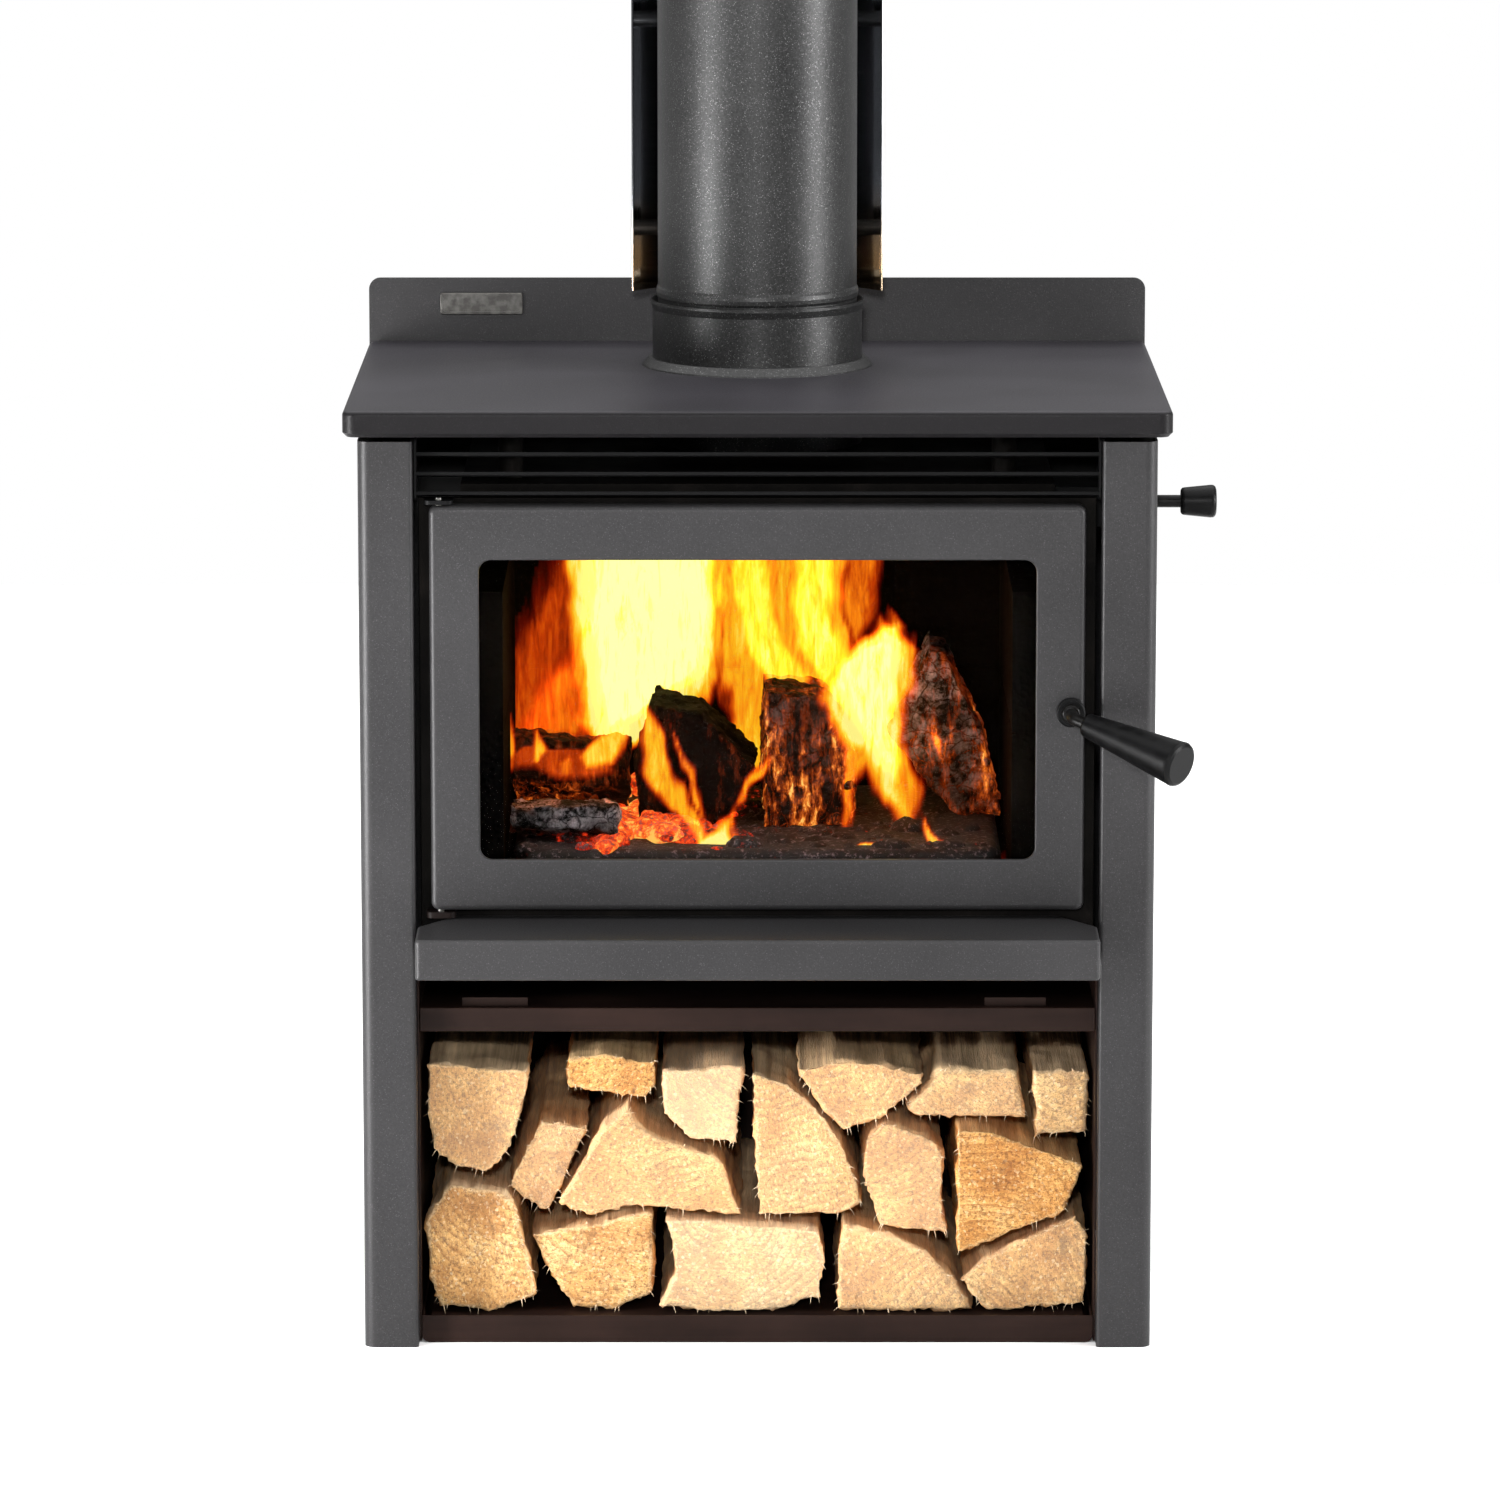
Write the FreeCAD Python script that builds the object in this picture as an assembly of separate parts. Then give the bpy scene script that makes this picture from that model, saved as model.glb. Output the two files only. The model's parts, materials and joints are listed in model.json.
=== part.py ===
import FreeCAD, Part
import math
import os

from FreeCAD import Vector

# Free-standing wood burning stove on a wood store, with flue, flue shield, door and air control.
# Millimetres, +Z up, front of the stove towards -Y.
# Origin: on the floor, on the centre plane, 175 mm behind the front face of the side panels.

# ---------------------------------------------------------------- driving dimensions
FRONT_Y = -175.0  # front face of the two side panels
REAR_Y = 195.0  # rear face of the casing
CASING_HALF = 290.0  # outer face of each side panel
LEG_INNER = 250.0  # inner edge of each side panel's front return
PANEL_TOP = 674.0
SHEET = 1.6  # casing sheet

PLATE_HALF = 300.0
PLATE_FRONT_Y = -190.0
PLATE_REAR_Y = 230.0
PLATE_TOP = 698.0
PLATE_EDGE = 19.0  # depth of the turned-down edge
PLATE_THICK = 4.0
PLATE_APRON = 5.0
UPSTAND_TOP = 747.0

SHELL_HALF = 216.0
SHELL_BOTTOM = 322.0
SHELL_TOP = 640.0
SHELL_REAR_Y = 178.0
SHELL_WALL = 5.0
FACE_FRONT_Y = -156.0  # front of the firebox face plate
FACE_THICK = 6.0
FACE_HALF = 246.0
FACE_BOTTOM = 290.0
FACE_TOP = 630.5
MOUTH_HALF = 204.0  # firebox mouth behind the door
MOUTH_BOTTOM = 360.0
MOUTH_TOP = 594.0
BRICK = 25.0

DOOR_HALF = 238.5
DOOR_BOTTOM = 328.0
DOOR_TOP = 627.0
DOOR_FRONT_Y = -172.0
DOOR_REAR_Y = -157.0
DOOR_SHEET = 3.0
WINDOW_HALF = 202.5
WINDOW_BOTTOM = 366.0
WINDOW_TOP = 587.0
GLASS_HALF = 208.5
GLASS_BOTTOM = 359.0
GLASS_TOP = 594.0
GLASS_THICK = 5.0
GASKET_THICK = 1.5

HINGE_X = -231.5
HINGE_Y = -166.0
HINGE_PIN_R = 2.5
HINGE_FIT = 0.05  # radial clearance of the pins in the door's knuckles

LATCH_X = 228.0
LATCH_Z = 475.5
SPINDLE_R = 7.0
SHANK_R = 4.0
HANDLE_ROD_R = 4.5
HANDLE_BEND_Y = -201.0  # where the rod turns towards the grip
GRIP_DIRECTION = Vector(0.75, -0.62, -0.23)
GRIP_START = 13.3  # distance along the grip direction from the bend
GRIP_LENGTH = 88.0
GRIP_SMALL_R = 8.8
GRIP_LARGE_R = 16.8

AIR_Y = -75.0
AIR_Z = 616.5
AIR_ROD_R = 4.6
KNOB_START = 312.0
KNOB_END = 338.0

FLUE_Y = 86.0
PIPE_R = 75.0
PIPE_WALL = 0.8
PIPE_TOP = 1150.0
COLLAR_R = 79.0
COLLAR_TOP = 748.0
SHIELD_R = 113.0
SHIELD_HALF_WIDTH = 95.3
SHIELD_FRONT_Y = 134.0
SHIELD_BOTTOM = 748.0
SHIELD_SHEET = 0.9

SHELF_HALF = 247.6
SHELF_FRONT_Y = -247.0
SHELF_BOTTOM = 291.0
SHELF_TOP = 321.0

LINER_X = 249.7  # outer face of the wood store's side liners
STORE_FLOOR = 17.0  # raised floor that the firewood lies on
FIXING_X = 200.0  # holes for floor anchors in the base pan
FIXING_Y = (-151.0, 178.0)
FIXING_R = 4.5
ROOF_BOTTOM = 235.0
ROOF_TOP = 253.0
STORE_FRONT_Y = -160.0
STORE_REAR_Y = 188.0
BASE_LIP = 20.5
STORE_SHEET = 1.2
LOG_LENGTH = 295.0

SLAT_HEIGHTS = (664.0, 649.6, 635.2)

X_AXIS = Vector(1, 0, 0)
Y_AXIS = Vector(0, 1, 0)
Z_AXIS = Vector(0, 0, 1)


# ---------------------------------------------------------------- shape helpers
def block(x0, x1, y0, y1, z0, z1):
    return Part.makeBox(x1 - x0, y1 - y0, z1 - z0, Vector(x0, y0, z0))


def rod(radius, start, direction, length):
    return Part.makeCylinder(radius, length, Vector(*start), direction)


def prism(points, sweep):
    """Solid swept from a flat outline of 3D points."""
    corners = [Vector(*p) for p in points]
    face = Part.Face(Part.makePolygon(corners + [corners[0]]))
    return face.extrude(Vector(*sweep))


def turned(profile, axis_start, axis):
    """Solid turned round an axis from (radius, distance) points."""
    points = [Vector(r, 0, d) for r, d in profile]
    face = Part.Face(Part.makePolygon(points + [points[0]]))
    solid = face.revolve(Vector(0, 0, 0), Z_AXIS, 360)
    solid.Placement = FreeCAD.Placement(axis_start, FreeCAD.Rotation(Z_AXIS, axis))
    return solid


def edges_along(shape, axis, keep=lambda middle: True):
    """Straight edges parallel to an axis whose middle passes a test."""
    found = []
    for edge in shape.Edges:
        if not isinstance(edge.Curve, Part.Line):
            continue
        if abs(abs(edge.Curve.Direction.dot(axis)) - 1) < 1e-6 and keep(edge.CenterOfMass):
            found.append(edge)
    return found


def edges_at(shape, axis, height):
    """Edges that lie wholly in the plane at one height along an axis."""
    found = []
    for edge in shape.Edges:
        middle = edge.valueAt((edge.FirstParameter + edge.LastParameter) / 2)
        places = [vertex.Point for vertex in edge.Vertexes] + [middle]
        if all(abs(place.dot(axis) - height) < 1e-6 for place in places):
            found.append(edge)
    return found


def rounded_block(x0, x1, y0, y1, z0, z1, radius, axis):
    solid = block(x0, x1, y0, y1, z0, z1)
    return solid.makeFillet(radius, edges_along(solid, axis))


def rounded_frame(half, bottom, top, inner_half, inner_bottom, inner_top, y0, y1, radii):
    """Flat ring in an upright plane: outer and inner rounded rectangles."""
    outer = rounded_block(-half, half, y0, y1, bottom, top, radii[0], Y_AXIS)
    inner = rounded_block(
        -inner_half, inner_half, y0 - 1, y1 + 1, inner_bottom, inner_top, radii[1], Y_AXIS
    )
    return outer.cut(inner)


def group(solids):
    return Part.makeCompound(solids)


def mirrored(shape):
    return shape.mirror(Vector(0, 0, 0), X_AXIS)


def save(name, shape):
    shape.exportStep(os.path.join("parts", name + ".step"))
    print(f"{name}: {len(shape.Solids)} solid(s), {shape.Volume / 1000:.1f} cm3, valid {shape.isValid()}")


# ---------------------------------------------------------------- casing
CASING_SCREW_Z = (90.0, 260.0, 430.0, 600.0)
CASING_SCREW_X = 274.0
CASING_SCREW_R = 2.4
UPSTAND_SCREW_X = (-240.0, 0.0, 240.0)
UPSTAND_SCREW_Z = 688.0


def side_panel_right():
    """One bent sheet: outer side, rounded front face with a hem, and a rear return."""
    outer = block(LEG_INNER, CASING_HALF, FRONT_Y, REAR_Y, 0, PANEL_TOP)
    outer = outer.makeFillet(
        9.0, edges_along(outer, Z_AXIS, lambda m: m.x > 280 and m.y < 0)
    )
    outer = outer.makeFillet(
        3.0, edges_along(outer, Z_AXIS, lambda m: m.x < 260 and m.y < 0)
    )
    inner = block(LEG_INNER + SHEET, CASING_HALF - SHEET, FRONT_Y + SHEET, REAR_Y - SHEET, -1, PANEL_TOP + 1)
    inner = inner.makeFillet(
        9.0 - SHEET, edges_along(inner, Z_AXIS, lambda m: m.x > 280 and m.y < 0)
    )
    inner = inner.makeFillet(
        3.0 - SHEET, edges_along(inner, Z_AXIS, lambda m: m.x < 260 and m.y < 0)
    )
    hem_rear_y = -157.0
    window = block(LEG_INNER - 1, LEG_INNER + SHEET + 0.1, hem_rear_y, REAR_Y + 1, -1, PANEL_TOP + 1)
    return_gap = block(LEG_INNER - 1, 262.0, REAR_Y - SHEET - 0.1, REAR_Y + 1, -1, PANEL_TOP + 1)
    panel = outer.cut(inner).cut(window).cut(return_gap)
    for z in CASING_SCREW_Z:
        panel = panel.cut(rod(CASING_SCREW_R, (CASING_SCREW_X, REAR_Y - 5, z), Y_AXIS, 10))
    return panel


def drilled_for_air_rod(panel):
    return panel.cut(rod(7.0, (CASING_HALF - 5, AIR_Y, AIR_Z), X_AXIS, 10))


def rear_heat_shield():
    shield = rounded_block(-286, 286, REAR_Y, REAR_Y + STORE_SHEET, 30, 670, 6, Y_AXIS)
    for z in CASING_SCREW_Z:
        for x in (-CASING_SCREW_X, CASING_SCREW_X):
            shield = shield.cut(rod(CASING_SCREW_R, (x, REAR_Y - 5, z), Y_AXIS, 10))
    slot_half = 12.0
    for x in (-160, -80, 0, 80, 160):
        for z in (420, 460, 500):
            slot = rounded_block(
                x - slot_half, x + slot_half, REAR_Y - 1, REAR_Y + 3, z - 4, z + 4, 3.9, Y_AXIS
            )
            shield = shield.cut(slot)
    return shield


def pan_screw(shank_r, head_r, head_height, length):
    """Screw along +Y with its head at the low end and a crosshead recess."""
    screw = turned(
        [(0, 0), (head_r * 0.7, 0), (head_r, head_height * 0.5), (head_r, head_height),
         (shank_r, head_height), (shank_r, head_height + length), (0, head_height + length)],
        Vector(0, 0, 0), Y_AXIS,
    )
    arm = head_r * 0.5
    for cross in (block(-arm, arm, -1, 0.8, -0.5, 0.5), block(-0.5, 0.5, -1, 0.8, -arm, arm)):
        screw = screw.cut(cross)
    return screw


def placed(shape, position, angle=0.0, axis=Z_AXIS):
    copy = shape.copy()
    copy.Placement = FreeCAD.Placement(Vector(*position), FreeCAD.Rotation(axis, angle))
    return copy


def casing_screws():
    """Eight screws of the rear heat shield and three of the upstand, all driven from behind."""
    screw = pan_screw(CASING_SCREW_R, 4.5, 2.4, 8.0)
    solids = []
    for z in CASING_SCREW_Z:
        for x in (-CASING_SCREW_X, CASING_SCREW_X):
            solids.append(placed(screw, (x, REAR_Y + STORE_SHEET + 2.4, z), 180))
    for x in UPSTAND_SCREW_X:
        short = pan_screw(CASING_SCREW_R, 4.5, 2.4, 6.0)
        solids.append(placed(short, (x, PLATE_REAR_Y + 2.0 + 2.4, UPSTAND_SCREW_Z), 180))
    return group(solids)


# ---------------------------------------------------------------- top plate and upstand
def top_plate():
    """Pressed cooktop: rounded corners, turned-down bevelled edge, hole for the flue collar."""
    low = PLATE_TOP - PLATE_EDGE
    plate = rounded_block(
        -PLATE_HALF, PLATE_HALF, PLATE_FRONT_Y, PLATE_REAR_Y, low, PLATE_TOP, 10, Z_AXIS
    )
    plate = plate.makeFillet(3.5, edges_at(plate, Z_AXIS, PLATE_TOP))
    plate = plate.makeChamfer(3.0, edges_at(plate, Z_AXIS, low))
    hollow = rounded_block(
        -PLATE_HALF + PLATE_APRON, PLATE_HALF - PLATE_APRON,
        PLATE_FRONT_Y + PLATE_APRON, PLATE_REAR_Y - PLATE_APRON,
        low - 1, PLATE_TOP - PLATE_THICK, 5, Z_AXIS,
    )
    plate = plate.cut(hollow)
    plate = plate.cut(rod(80.0, (0, FLUE_Y, 600), Z_AXIS, 200))
    for x in UPSTAND_SCREW_X:
        plate = plate.cut(rod(CASING_SCREW_R, (x, PLATE_REAR_Y - 10, UPSTAND_SCREW_Z), Y_AXIS, 20))
    return plate


def plate_supports():
    """Four posts between the firebox top and the plate, with the convection air passing round them."""
    posts = []
    for x in (-180, 180):
        for y in (-120, 150):
            post = rod(9.0, (x, y, SHELL_TOP), Z_AXIS, PLATE_TOP - PLATE_THICK - SHELL_TOP)
            posts.append(post.makeChamfer(1.0, edges_at(post, Z_AXIS, SHELL_TOP)))
    return group(posts)


def rear_upstand():
    upstand = block(-PLATE_HALF, PLATE_HALF, PLATE_REAR_Y, PLATE_REAR_Y + 2, 683, UPSTAND_TOP)
    upstand = upstand.makeFillet(9.0, edges_along(upstand, Y_AXIS, lambda m: m.z > 740))
    for x in UPSTAND_SCREW_X:
        upstand = upstand.cut(rod(CASING_SCREW_R, (x, PLATE_REAR_Y - 1, UPSTAND_SCREW_Z), Y_AXIS, 10))
    return upstand


def badge_plate():
    """Blank plate on the left of the upstand."""
    badge = rounded_block(-245, -181, PLATE_REAR_Y - 2.5, PLATE_REAR_Y, 718.5, 735.5, 2, Y_AXIS)
    badge = badge.makeFillet(0.8, edges_at(badge, Y_AXIS, PLATE_REAR_Y - 2.5))
    recess = rounded_block(-242.5, -183.5, PLATE_REAR_Y - 3, PLATE_REAR_Y - 1.9, 721, 733, 1.5, Y_AXIS)
    return badge.cut(recess)


# ---------------------------------------------------------------- grille
SLAT_HALF = 247.5
SLAT_FRONT_Y = -165.0
SLAT_REAR_Y = -151.0
SLAT_DROP = 3.5
SLAT_THICK = 1.6


def grille_slats():
    """Three air-outlet louvres, sloping down to the rear, each with a small front lip."""
    slats = []
    for z in SLAT_HEIGHTS:
        outline = [
            (-SLAT_HALF, SLAT_FRONT_Y, z + 1.2), (-SLAT_HALF, SLAT_FRONT_Y, z - 1.2),
            (-SLAT_HALF, SLAT_FRONT_Y + 1.5, z - 1.2),
            (-SLAT_HALF, SLAT_REAR_Y, z - SLAT_DROP - SLAT_THICK / 2),
            (-SLAT_HALF, SLAT_REAR_Y, z - SLAT_DROP + SLAT_THICK / 2),
            (-SLAT_HALF, SLAT_FRONT_Y + 1.5, z + 1.2),
        ]
        slats.append(prism(outline, (2 * SLAT_HALF, 0, 0)))
    return group(slats)


def grille_brackets():
    """Sheet cheeks that carry the slats, one at each end."""
    right = block(SLAT_HALF, SLAT_HALF + 1.5, -168, -149, FACE_TOP, 676)
    right = right.makeFillet(4.0, edges_along(right, X_AXIS, lambda m: m.y < -160))
    return group([mirrored(right), right])


# ---------------------------------------------------------------- firebox
LATCH_SLOT = (221.5, 235.5, 468.5, 495.0)  # x and z limits of the latch slot in the face plate
AIR_PORT_R = 12.0


def firebox_shell():
    """Welded box with a face plate round its mouth, open to the flue and to the air control."""
    face_rear = FACE_FRONT_Y + FACE_THICK
    outer = block(-SHELL_HALF, SHELL_HALF, face_rear, SHELL_REAR_Y, SHELL_BOTTOM, SHELL_TOP)
    face = block(-FACE_HALF, FACE_HALF, FACE_FRONT_Y, face_rear, FACE_BOTTOM, FACE_TOP)
    inner = block(
        -SHELL_HALF + SHELL_WALL, SHELL_HALF - SHELL_WALL, face_rear,
        SHELL_REAR_Y - SHELL_WALL, SHELL_BOTTOM + SHELL_WALL, SHELL_TOP - SHELL_WALL,
    )
    front_wall = block(-SHELL_HALF, SHELL_HALF, face_rear, face_rear + SHELL_WALL, FACE_TOP - 10, SHELL_TOP)
    shell = outer.cut(inner).fuse(front_wall).fuse(face)
    mouth = rounded_block(
        -MOUTH_HALF, MOUTH_HALF, FACE_FRONT_Y - 1, face_rear + 1, MOUTH_BOTTOM, MOUTH_TOP, 12, Y_AXIS
    )
    shell = shell.cut(mouth)
    x0, x1, z0, z1 = LATCH_SLOT
    shell = shell.cut(rounded_block(x0, x1, FACE_FRONT_Y - 1, face_rear + 1, z0, z1, 5, Y_AXIS))
    shell = shell.cut(rod(AIR_PORT_R, (SHELL_HALF - 10, AIR_Y, AIR_Z), X_AXIS, 20))
    shell = shell.cut(rod(72.0, (0, FLUE_Y, SHELL_TOP - 20), Z_AXIS, 40))
    return shell.removeSplitter()


def firebox_supports():
    """Two rails that carry the firebox on the wood store's side liners."""
    right = block(SHELL_HALF, 248.2, FACE_FRONT_Y + FACE_THICK, 170, 300, 303)
    upright = block(SHELL_HALF, SHELL_HALF + 3, FACE_FRONT_Y + FACE_THICK, 170, 300, 350)
    right = right.fuse(upright).removeSplitter()
    return group([mirrored(right), right])


BRICK_FLOOR = SHELL_BOTTOM + SHELL_WALL
BRICK_TOP = 560.0
BRICK_FRONT_Y = -149.0
BRICK_REAR_Y = SHELL_REAR_Y - SHELL_WALL


def firebrick_base():
    half = SHELL_HALF - SHELL_WALL
    brick = block(-half, half, BRICK_FRONT_Y, BRICK_REAR_Y, BRICK_FLOOR, BRICK_FLOOR + BRICK)
    for x in (-105, 0, 105):
        brick = brick.cut(block(x - 1, x + 1, -200, 200, BRICK_FLOOR + BRICK - 3, 400))
    return brick


def firebrick_right():
    outer = SHELL_HALF - SHELL_WALL
    brick = block(
        outer - BRICK, outer, BRICK_FRONT_Y, BRICK_REAR_Y - BRICK, BRICK_FLOOR + BRICK, BRICK_TOP
    )
    face_x = outer - BRICK
    for y in (-40, 60):
        brick = brick.cut(block(face_x - 1, face_x + 3, y - 1, y + 1, 300, 600))
    return brick.cut(block(face_x - 1, face_x + 3, -200, 200, 455, 457))


def firebrick_rear():
    half = SHELL_HALF - SHELL_WALL
    front = BRICK_REAR_Y - BRICK
    brick = block(-half, half, front, BRICK_REAR_Y, BRICK_FLOOR + BRICK, BRICK_TOP)
    for x in (-105, 0, 105):
        brick = brick.cut(block(x - 1, x + 1, front - 1, front + 3, 300, 600))
    return brick.cut(block(-half - 1, half + 1, front - 1, front + 3, 455, 457))


def baffle_plate():
    """Thick plate over the fire; the smoke goes round its front edge and up to the flue."""
    half = SHELL_HALF - SHELL_WALL
    plate = block(-half, half, -70, BRICK_REAR_Y, 598, 606)
    return plate.makeFillet(2.0, edges_along(plate, X_AXIS, lambda m: m.y < 0))


def secondary_air_tubes():
    """Two perforated tubes across the firebox under the baffle."""
    half = SHELL_HALF - SHELL_WALL
    tubes = []
    for y in (-40, 60):
        tube = rod(9.0, (-half, y, 586), X_AXIS, 2 * half).cut(rod(7.0, (-half, y, 586), X_AXIS, 2 * half))
        for i in range(-8, 9):
            tube = tube.cut(rod(1.8, (22.0 * i, y, 586), Vector(0, -1, -0.5), 20))
        tubes.append(tube)
    return group(tubes)


def air_wash_deflector():
    """Bent sheet behind the mouth's upper edge that turns the air down the glass."""
    half = SHELL_HALF - SHELL_WALL
    bend = [(-half, -145, 630), (-half, -145, 627), (-half, -118, 627), (-half, -118, 600),
            (-half, -140, 588), (-half, -139, 586), (-half, -115, 599), (-half, -115, 630)]
    return prism(bend, (2 * half, 0, 0))


# ---------------------------------------------------------------- air control
AIR_BOX = (216.0, 284.0, -105.0, -45.0, 602.0, 631.0)
AIR_BOX_WALL = 2.0
SLIDE_PLATE = (236.0, 264.0, -99.0, -51.0)


def air_inlet_box():
    """Box on the firebox side with two ports in its floor, which the slide plate covers."""
    x0, x1, y0, y1, z0, z1 = AIR_BOX
    wall = AIR_BOX_WALL
    box = block(*AIR_BOX).cut(block(x0 - 1, x1 - wall, y0 + wall, y1 - wall, z0 + wall, z1 - wall))
    for y in (AIR_Y - 14, AIR_Y + 14):
        box = box.cut(rod(9.0, (238, y, z0 - 1), Z_AXIS, 4))
    return box.cut(rod(AIR_ROD_R + 0.4, (x1 - 5, AIR_Y, AIR_Z), X_AXIS, 10))


def rod_guide_bush():
    """Flanged bush in the side panel that guides the air rod."""
    return turned(
        [(AIR_ROD_R + 0.06, -4), (6.95, -4), (6.95, 1.6), (9.0, 1.6), (9.0, 2.6), (8.4, 3.4),
         (AIR_ROD_R + 0.06, 3.4)],
        Vector(CASING_HALF - SHEET, AIR_Y, AIR_Z), X_AXIS,
    )


def air_slide_plate():
    x0, x1, y0, y1 = SLIDE_PLATE
    floor = AIR_BOX[4] + AIR_BOX_WALL + 0.3
    plate = block(x0, x1, y0, y1, floor, floor + 2)
    tab = block(x0 + 4, x0 + 7, AIR_Y - 9, AIR_Y + 9, floor, AIR_Z + 8)
    tab = tab.makeFillet(5.0, edges_along(tab, X_AXIS, lambda m: m.z > 620))
    return plate.fuse(tab).cut(rod(3.0, (x0, AIR_Y, AIR_Z), X_AXIS, 12)).removeSplitter()


def air_rod():
    """Round rod with a stepped end that fixes in the slide plate's tab."""
    tab_rear = SLIDE_PLATE[0] + 7
    body = rod(AIR_ROD_R, (tab_rear, AIR_Y, AIR_Z), X_AXIS, KNOB_START + 12 - tab_rear)
    return body.fuse(rod(3.0, (tab_rear - 3, AIR_Y, AIR_Z), X_AXIS, 3)).removeSplitter()


def air_knob():
    """Tapered knob, wider at its outer end, bored for the rod."""
    length = KNOB_END - KNOB_START
    knob = turned(
        [(AIR_ROD_R, 0), (8.6, 0), (9.8, 1.0), (10.2, 2.4), (12.1, length - 4.0), (12.0, length - 2.2),
         (11.0, length - 0.7), (9.2, length), (0, length), (0, 12), (AIR_ROD_R, 12)],
        Vector(KNOB_START, AIR_Y, AIR_Z), X_AXIS,
    )
    return knob


# ---------------------------------------------------------------- flue
def flue_collar():
    """Tube from the firebox top through the plate, with a flared rim and a seat for the pipe."""
    height = COLLAR_TOP - SHELL_TOP
    return turned(
        [(72.0, 0), (COLLAR_R, 0), (COLLAR_R, height - 7), (80.4, height - 2), (80.4, height), (78.9, height),
         (PIPE_R + 0.3, height - 5), (PIPE_R + 0.3, 64.0), (72.0, 64.0)],
        Vector(0, FLUE_Y, SHELL_TOP), Z_AXIS,
    )


def flue_base_ring():
    """Sloped ring that covers the gap between the collar and the plate."""
    return turned(
        [(COLLAR_R + 0.2, 0), (87.0, 0), (86.4, 1.2), (81.6, 6.5), (COLLAR_R + 0.2, 6.5)],
        Vector(0, FLUE_Y, PLATE_TOP), Z_AXIS,
    )


def flue_pipe():
    """First flue length with a stop bead that sits just over the collar's rim."""
    inner = PIPE_R - PIPE_WALL
    bead = COLLAR_TOP + 6.0 - 704.0
    return turned(
        [(inner, 0), (PIPE_R, 0), (PIPE_R, bead - 5), (PIPE_R + 0.9, bead - 3), (PIPE_R + 1.3, bead),
         (PIPE_R + 0.9, bead + 3), (PIPE_R, bead + 5), (PIPE_R, PIPE_TOP - 704), (inner, PIPE_TOP - 704)],
        Vector(0, FLUE_Y, 704), Z_AXIS,
    )


SHIELD_CENTRE_Y = SHIELD_FRONT_Y - math.sqrt(SHIELD_R**2 - SHIELD_HALF_WIDTH**2)
SHIELD_HEIGHT = PIPE_TOP - SHIELD_BOTTOM


def flue_shield():
    """Curved sheet behind the pipe with hemmed upright edges."""
    centre = Vector(0, SHIELD_CENTRE_Y, SHIELD_BOTTOM)
    tube = Part.makeCylinder(SHIELD_R, SHIELD_HEIGHT, centre, Z_AXIS)
    tube = tube.cut(Part.makeCylinder(SHIELD_R - SHIELD_SHEET, SHIELD_HEIGHT, centre, Z_AXIS))
    shield = tube.common(block(-120, 120, SHIELD_FRONT_Y, 220, SHIELD_BOTTOM, PIPE_TOP))
    for side in (-1, 1):
        hem_start = (side * (SHIELD_HALF_WIDTH - 1.0), SHIELD_FRONT_Y + 0.6, SHIELD_BOTTOM)
        hem = rod(1.0, hem_start, Z_AXIS, SHIELD_HEIGHT)
        shield = shield.fuse(hem)
    return shield.removeSplitter()


def shield_standoffs():
    """Spacer tubes between the pipe and its shield, three pairs one above the other."""
    pipe = rod(PIPE_R, (0, FLUE_Y, 700), Z_AXIS, 500)
    inside = rod(SHIELD_R - SHIELD_SHEET, (0, SHIELD_CENTRE_Y, 700), Z_AXIS, 500)
    spacers = []
    for z in (790, 950, 1110):
        for angle in (60, 120):
            direction = Vector(math.cos(math.radians(angle)), math.sin(math.radians(angle)), 0)
            spacer = rod(6.0, (0, FLUE_Y, z), direction, 160).cut(pipe).common(inside)
            spacers.append(spacer)
    return group(spacers)


# ---------------------------------------------------------------- ash shelf and wood store
def ash_shelf():
    """Shelf pressed from one sheet: turned-down front and sides, rear corners cut off."""
    chamfer_y = -195.0
    rear_half = 222.0

    def outline(inset, z):
        half = SHELF_HALF - inset
        front = SHELF_FRONT_Y + inset
        rear = rear_half - inset
        return [(-half, front, z), (half, front, z), (half, chamfer_y, z),
                (rear, FACE_FRONT_Y, z), (-rear, FACE_FRONT_Y, z), (-half, chamfer_y, z)]

    shelf = prism(outline(0, SHELF_BOTTOM), (0, 0, SHELF_TOP - SHELF_BOTTOM))
    corners = edges_along(shelf, Z_AXIS, lambda m: m.y < SHELF_FRONT_Y + 1)
    shelf = shelf.makeFillet(4.0, corners)
    rim = [e for e in edges_at(shelf, Z_AXIS, SHELF_TOP) if e.CenterOfMass.y < FACE_FRONT_Y - 1]
    shelf = shelf.makeFillet(2.5, rim)
    lower = [e for e in edges_at(shelf, Z_AXIS, SHELF_BOTTOM) if e.CenterOfMass.y < FACE_FRONT_Y - 1]
    shelf = shelf.makeFillet(2.0, lower)
    hollow = prism(outline(3.0, SHELF_BOTTOM - 1), (0, 0, SHELF_TOP - SHELF_BOTTOM - 1))
    return shelf.cut(hollow)


def store_roof():
    """Roof sheet with a turned-down front lip and two upright tabs."""
    half = SHELF_HALF
    rear = STORE_REAR_Y
    sheet = block(-half, half, STORE_FRONT_Y, rear, ROOF_TOP - STORE_SHEET, ROOF_TOP)
    lip = block(-half, half, STORE_FRONT_Y, STORE_FRONT_Y + STORE_SHEET, ROOF_BOTTOM, ROOF_TOP)
    hem = block(-half, half, STORE_FRONT_Y, STORE_FRONT_Y + 6, ROOF_BOTTOM, ROOF_BOTTOM + STORE_SHEET)
    roof = sheet.fuse(lip).fuse(hem)
    for x0, x1 in ((-217, -169), (167, 212)):
        tab = block(x0, x1, -152, -152 + STORE_SHEET, ROOF_TOP - STORE_SHEET, ROOF_TOP + 6)
        roof = roof.fuse(tab)
    roof = roof.removeSplitter()
    front = edges_along(roof, X_AXIS, lambda m: m.y < STORE_FRONT_Y + 0.01)
    return roof.makeFillet(1.0, front)


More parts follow.
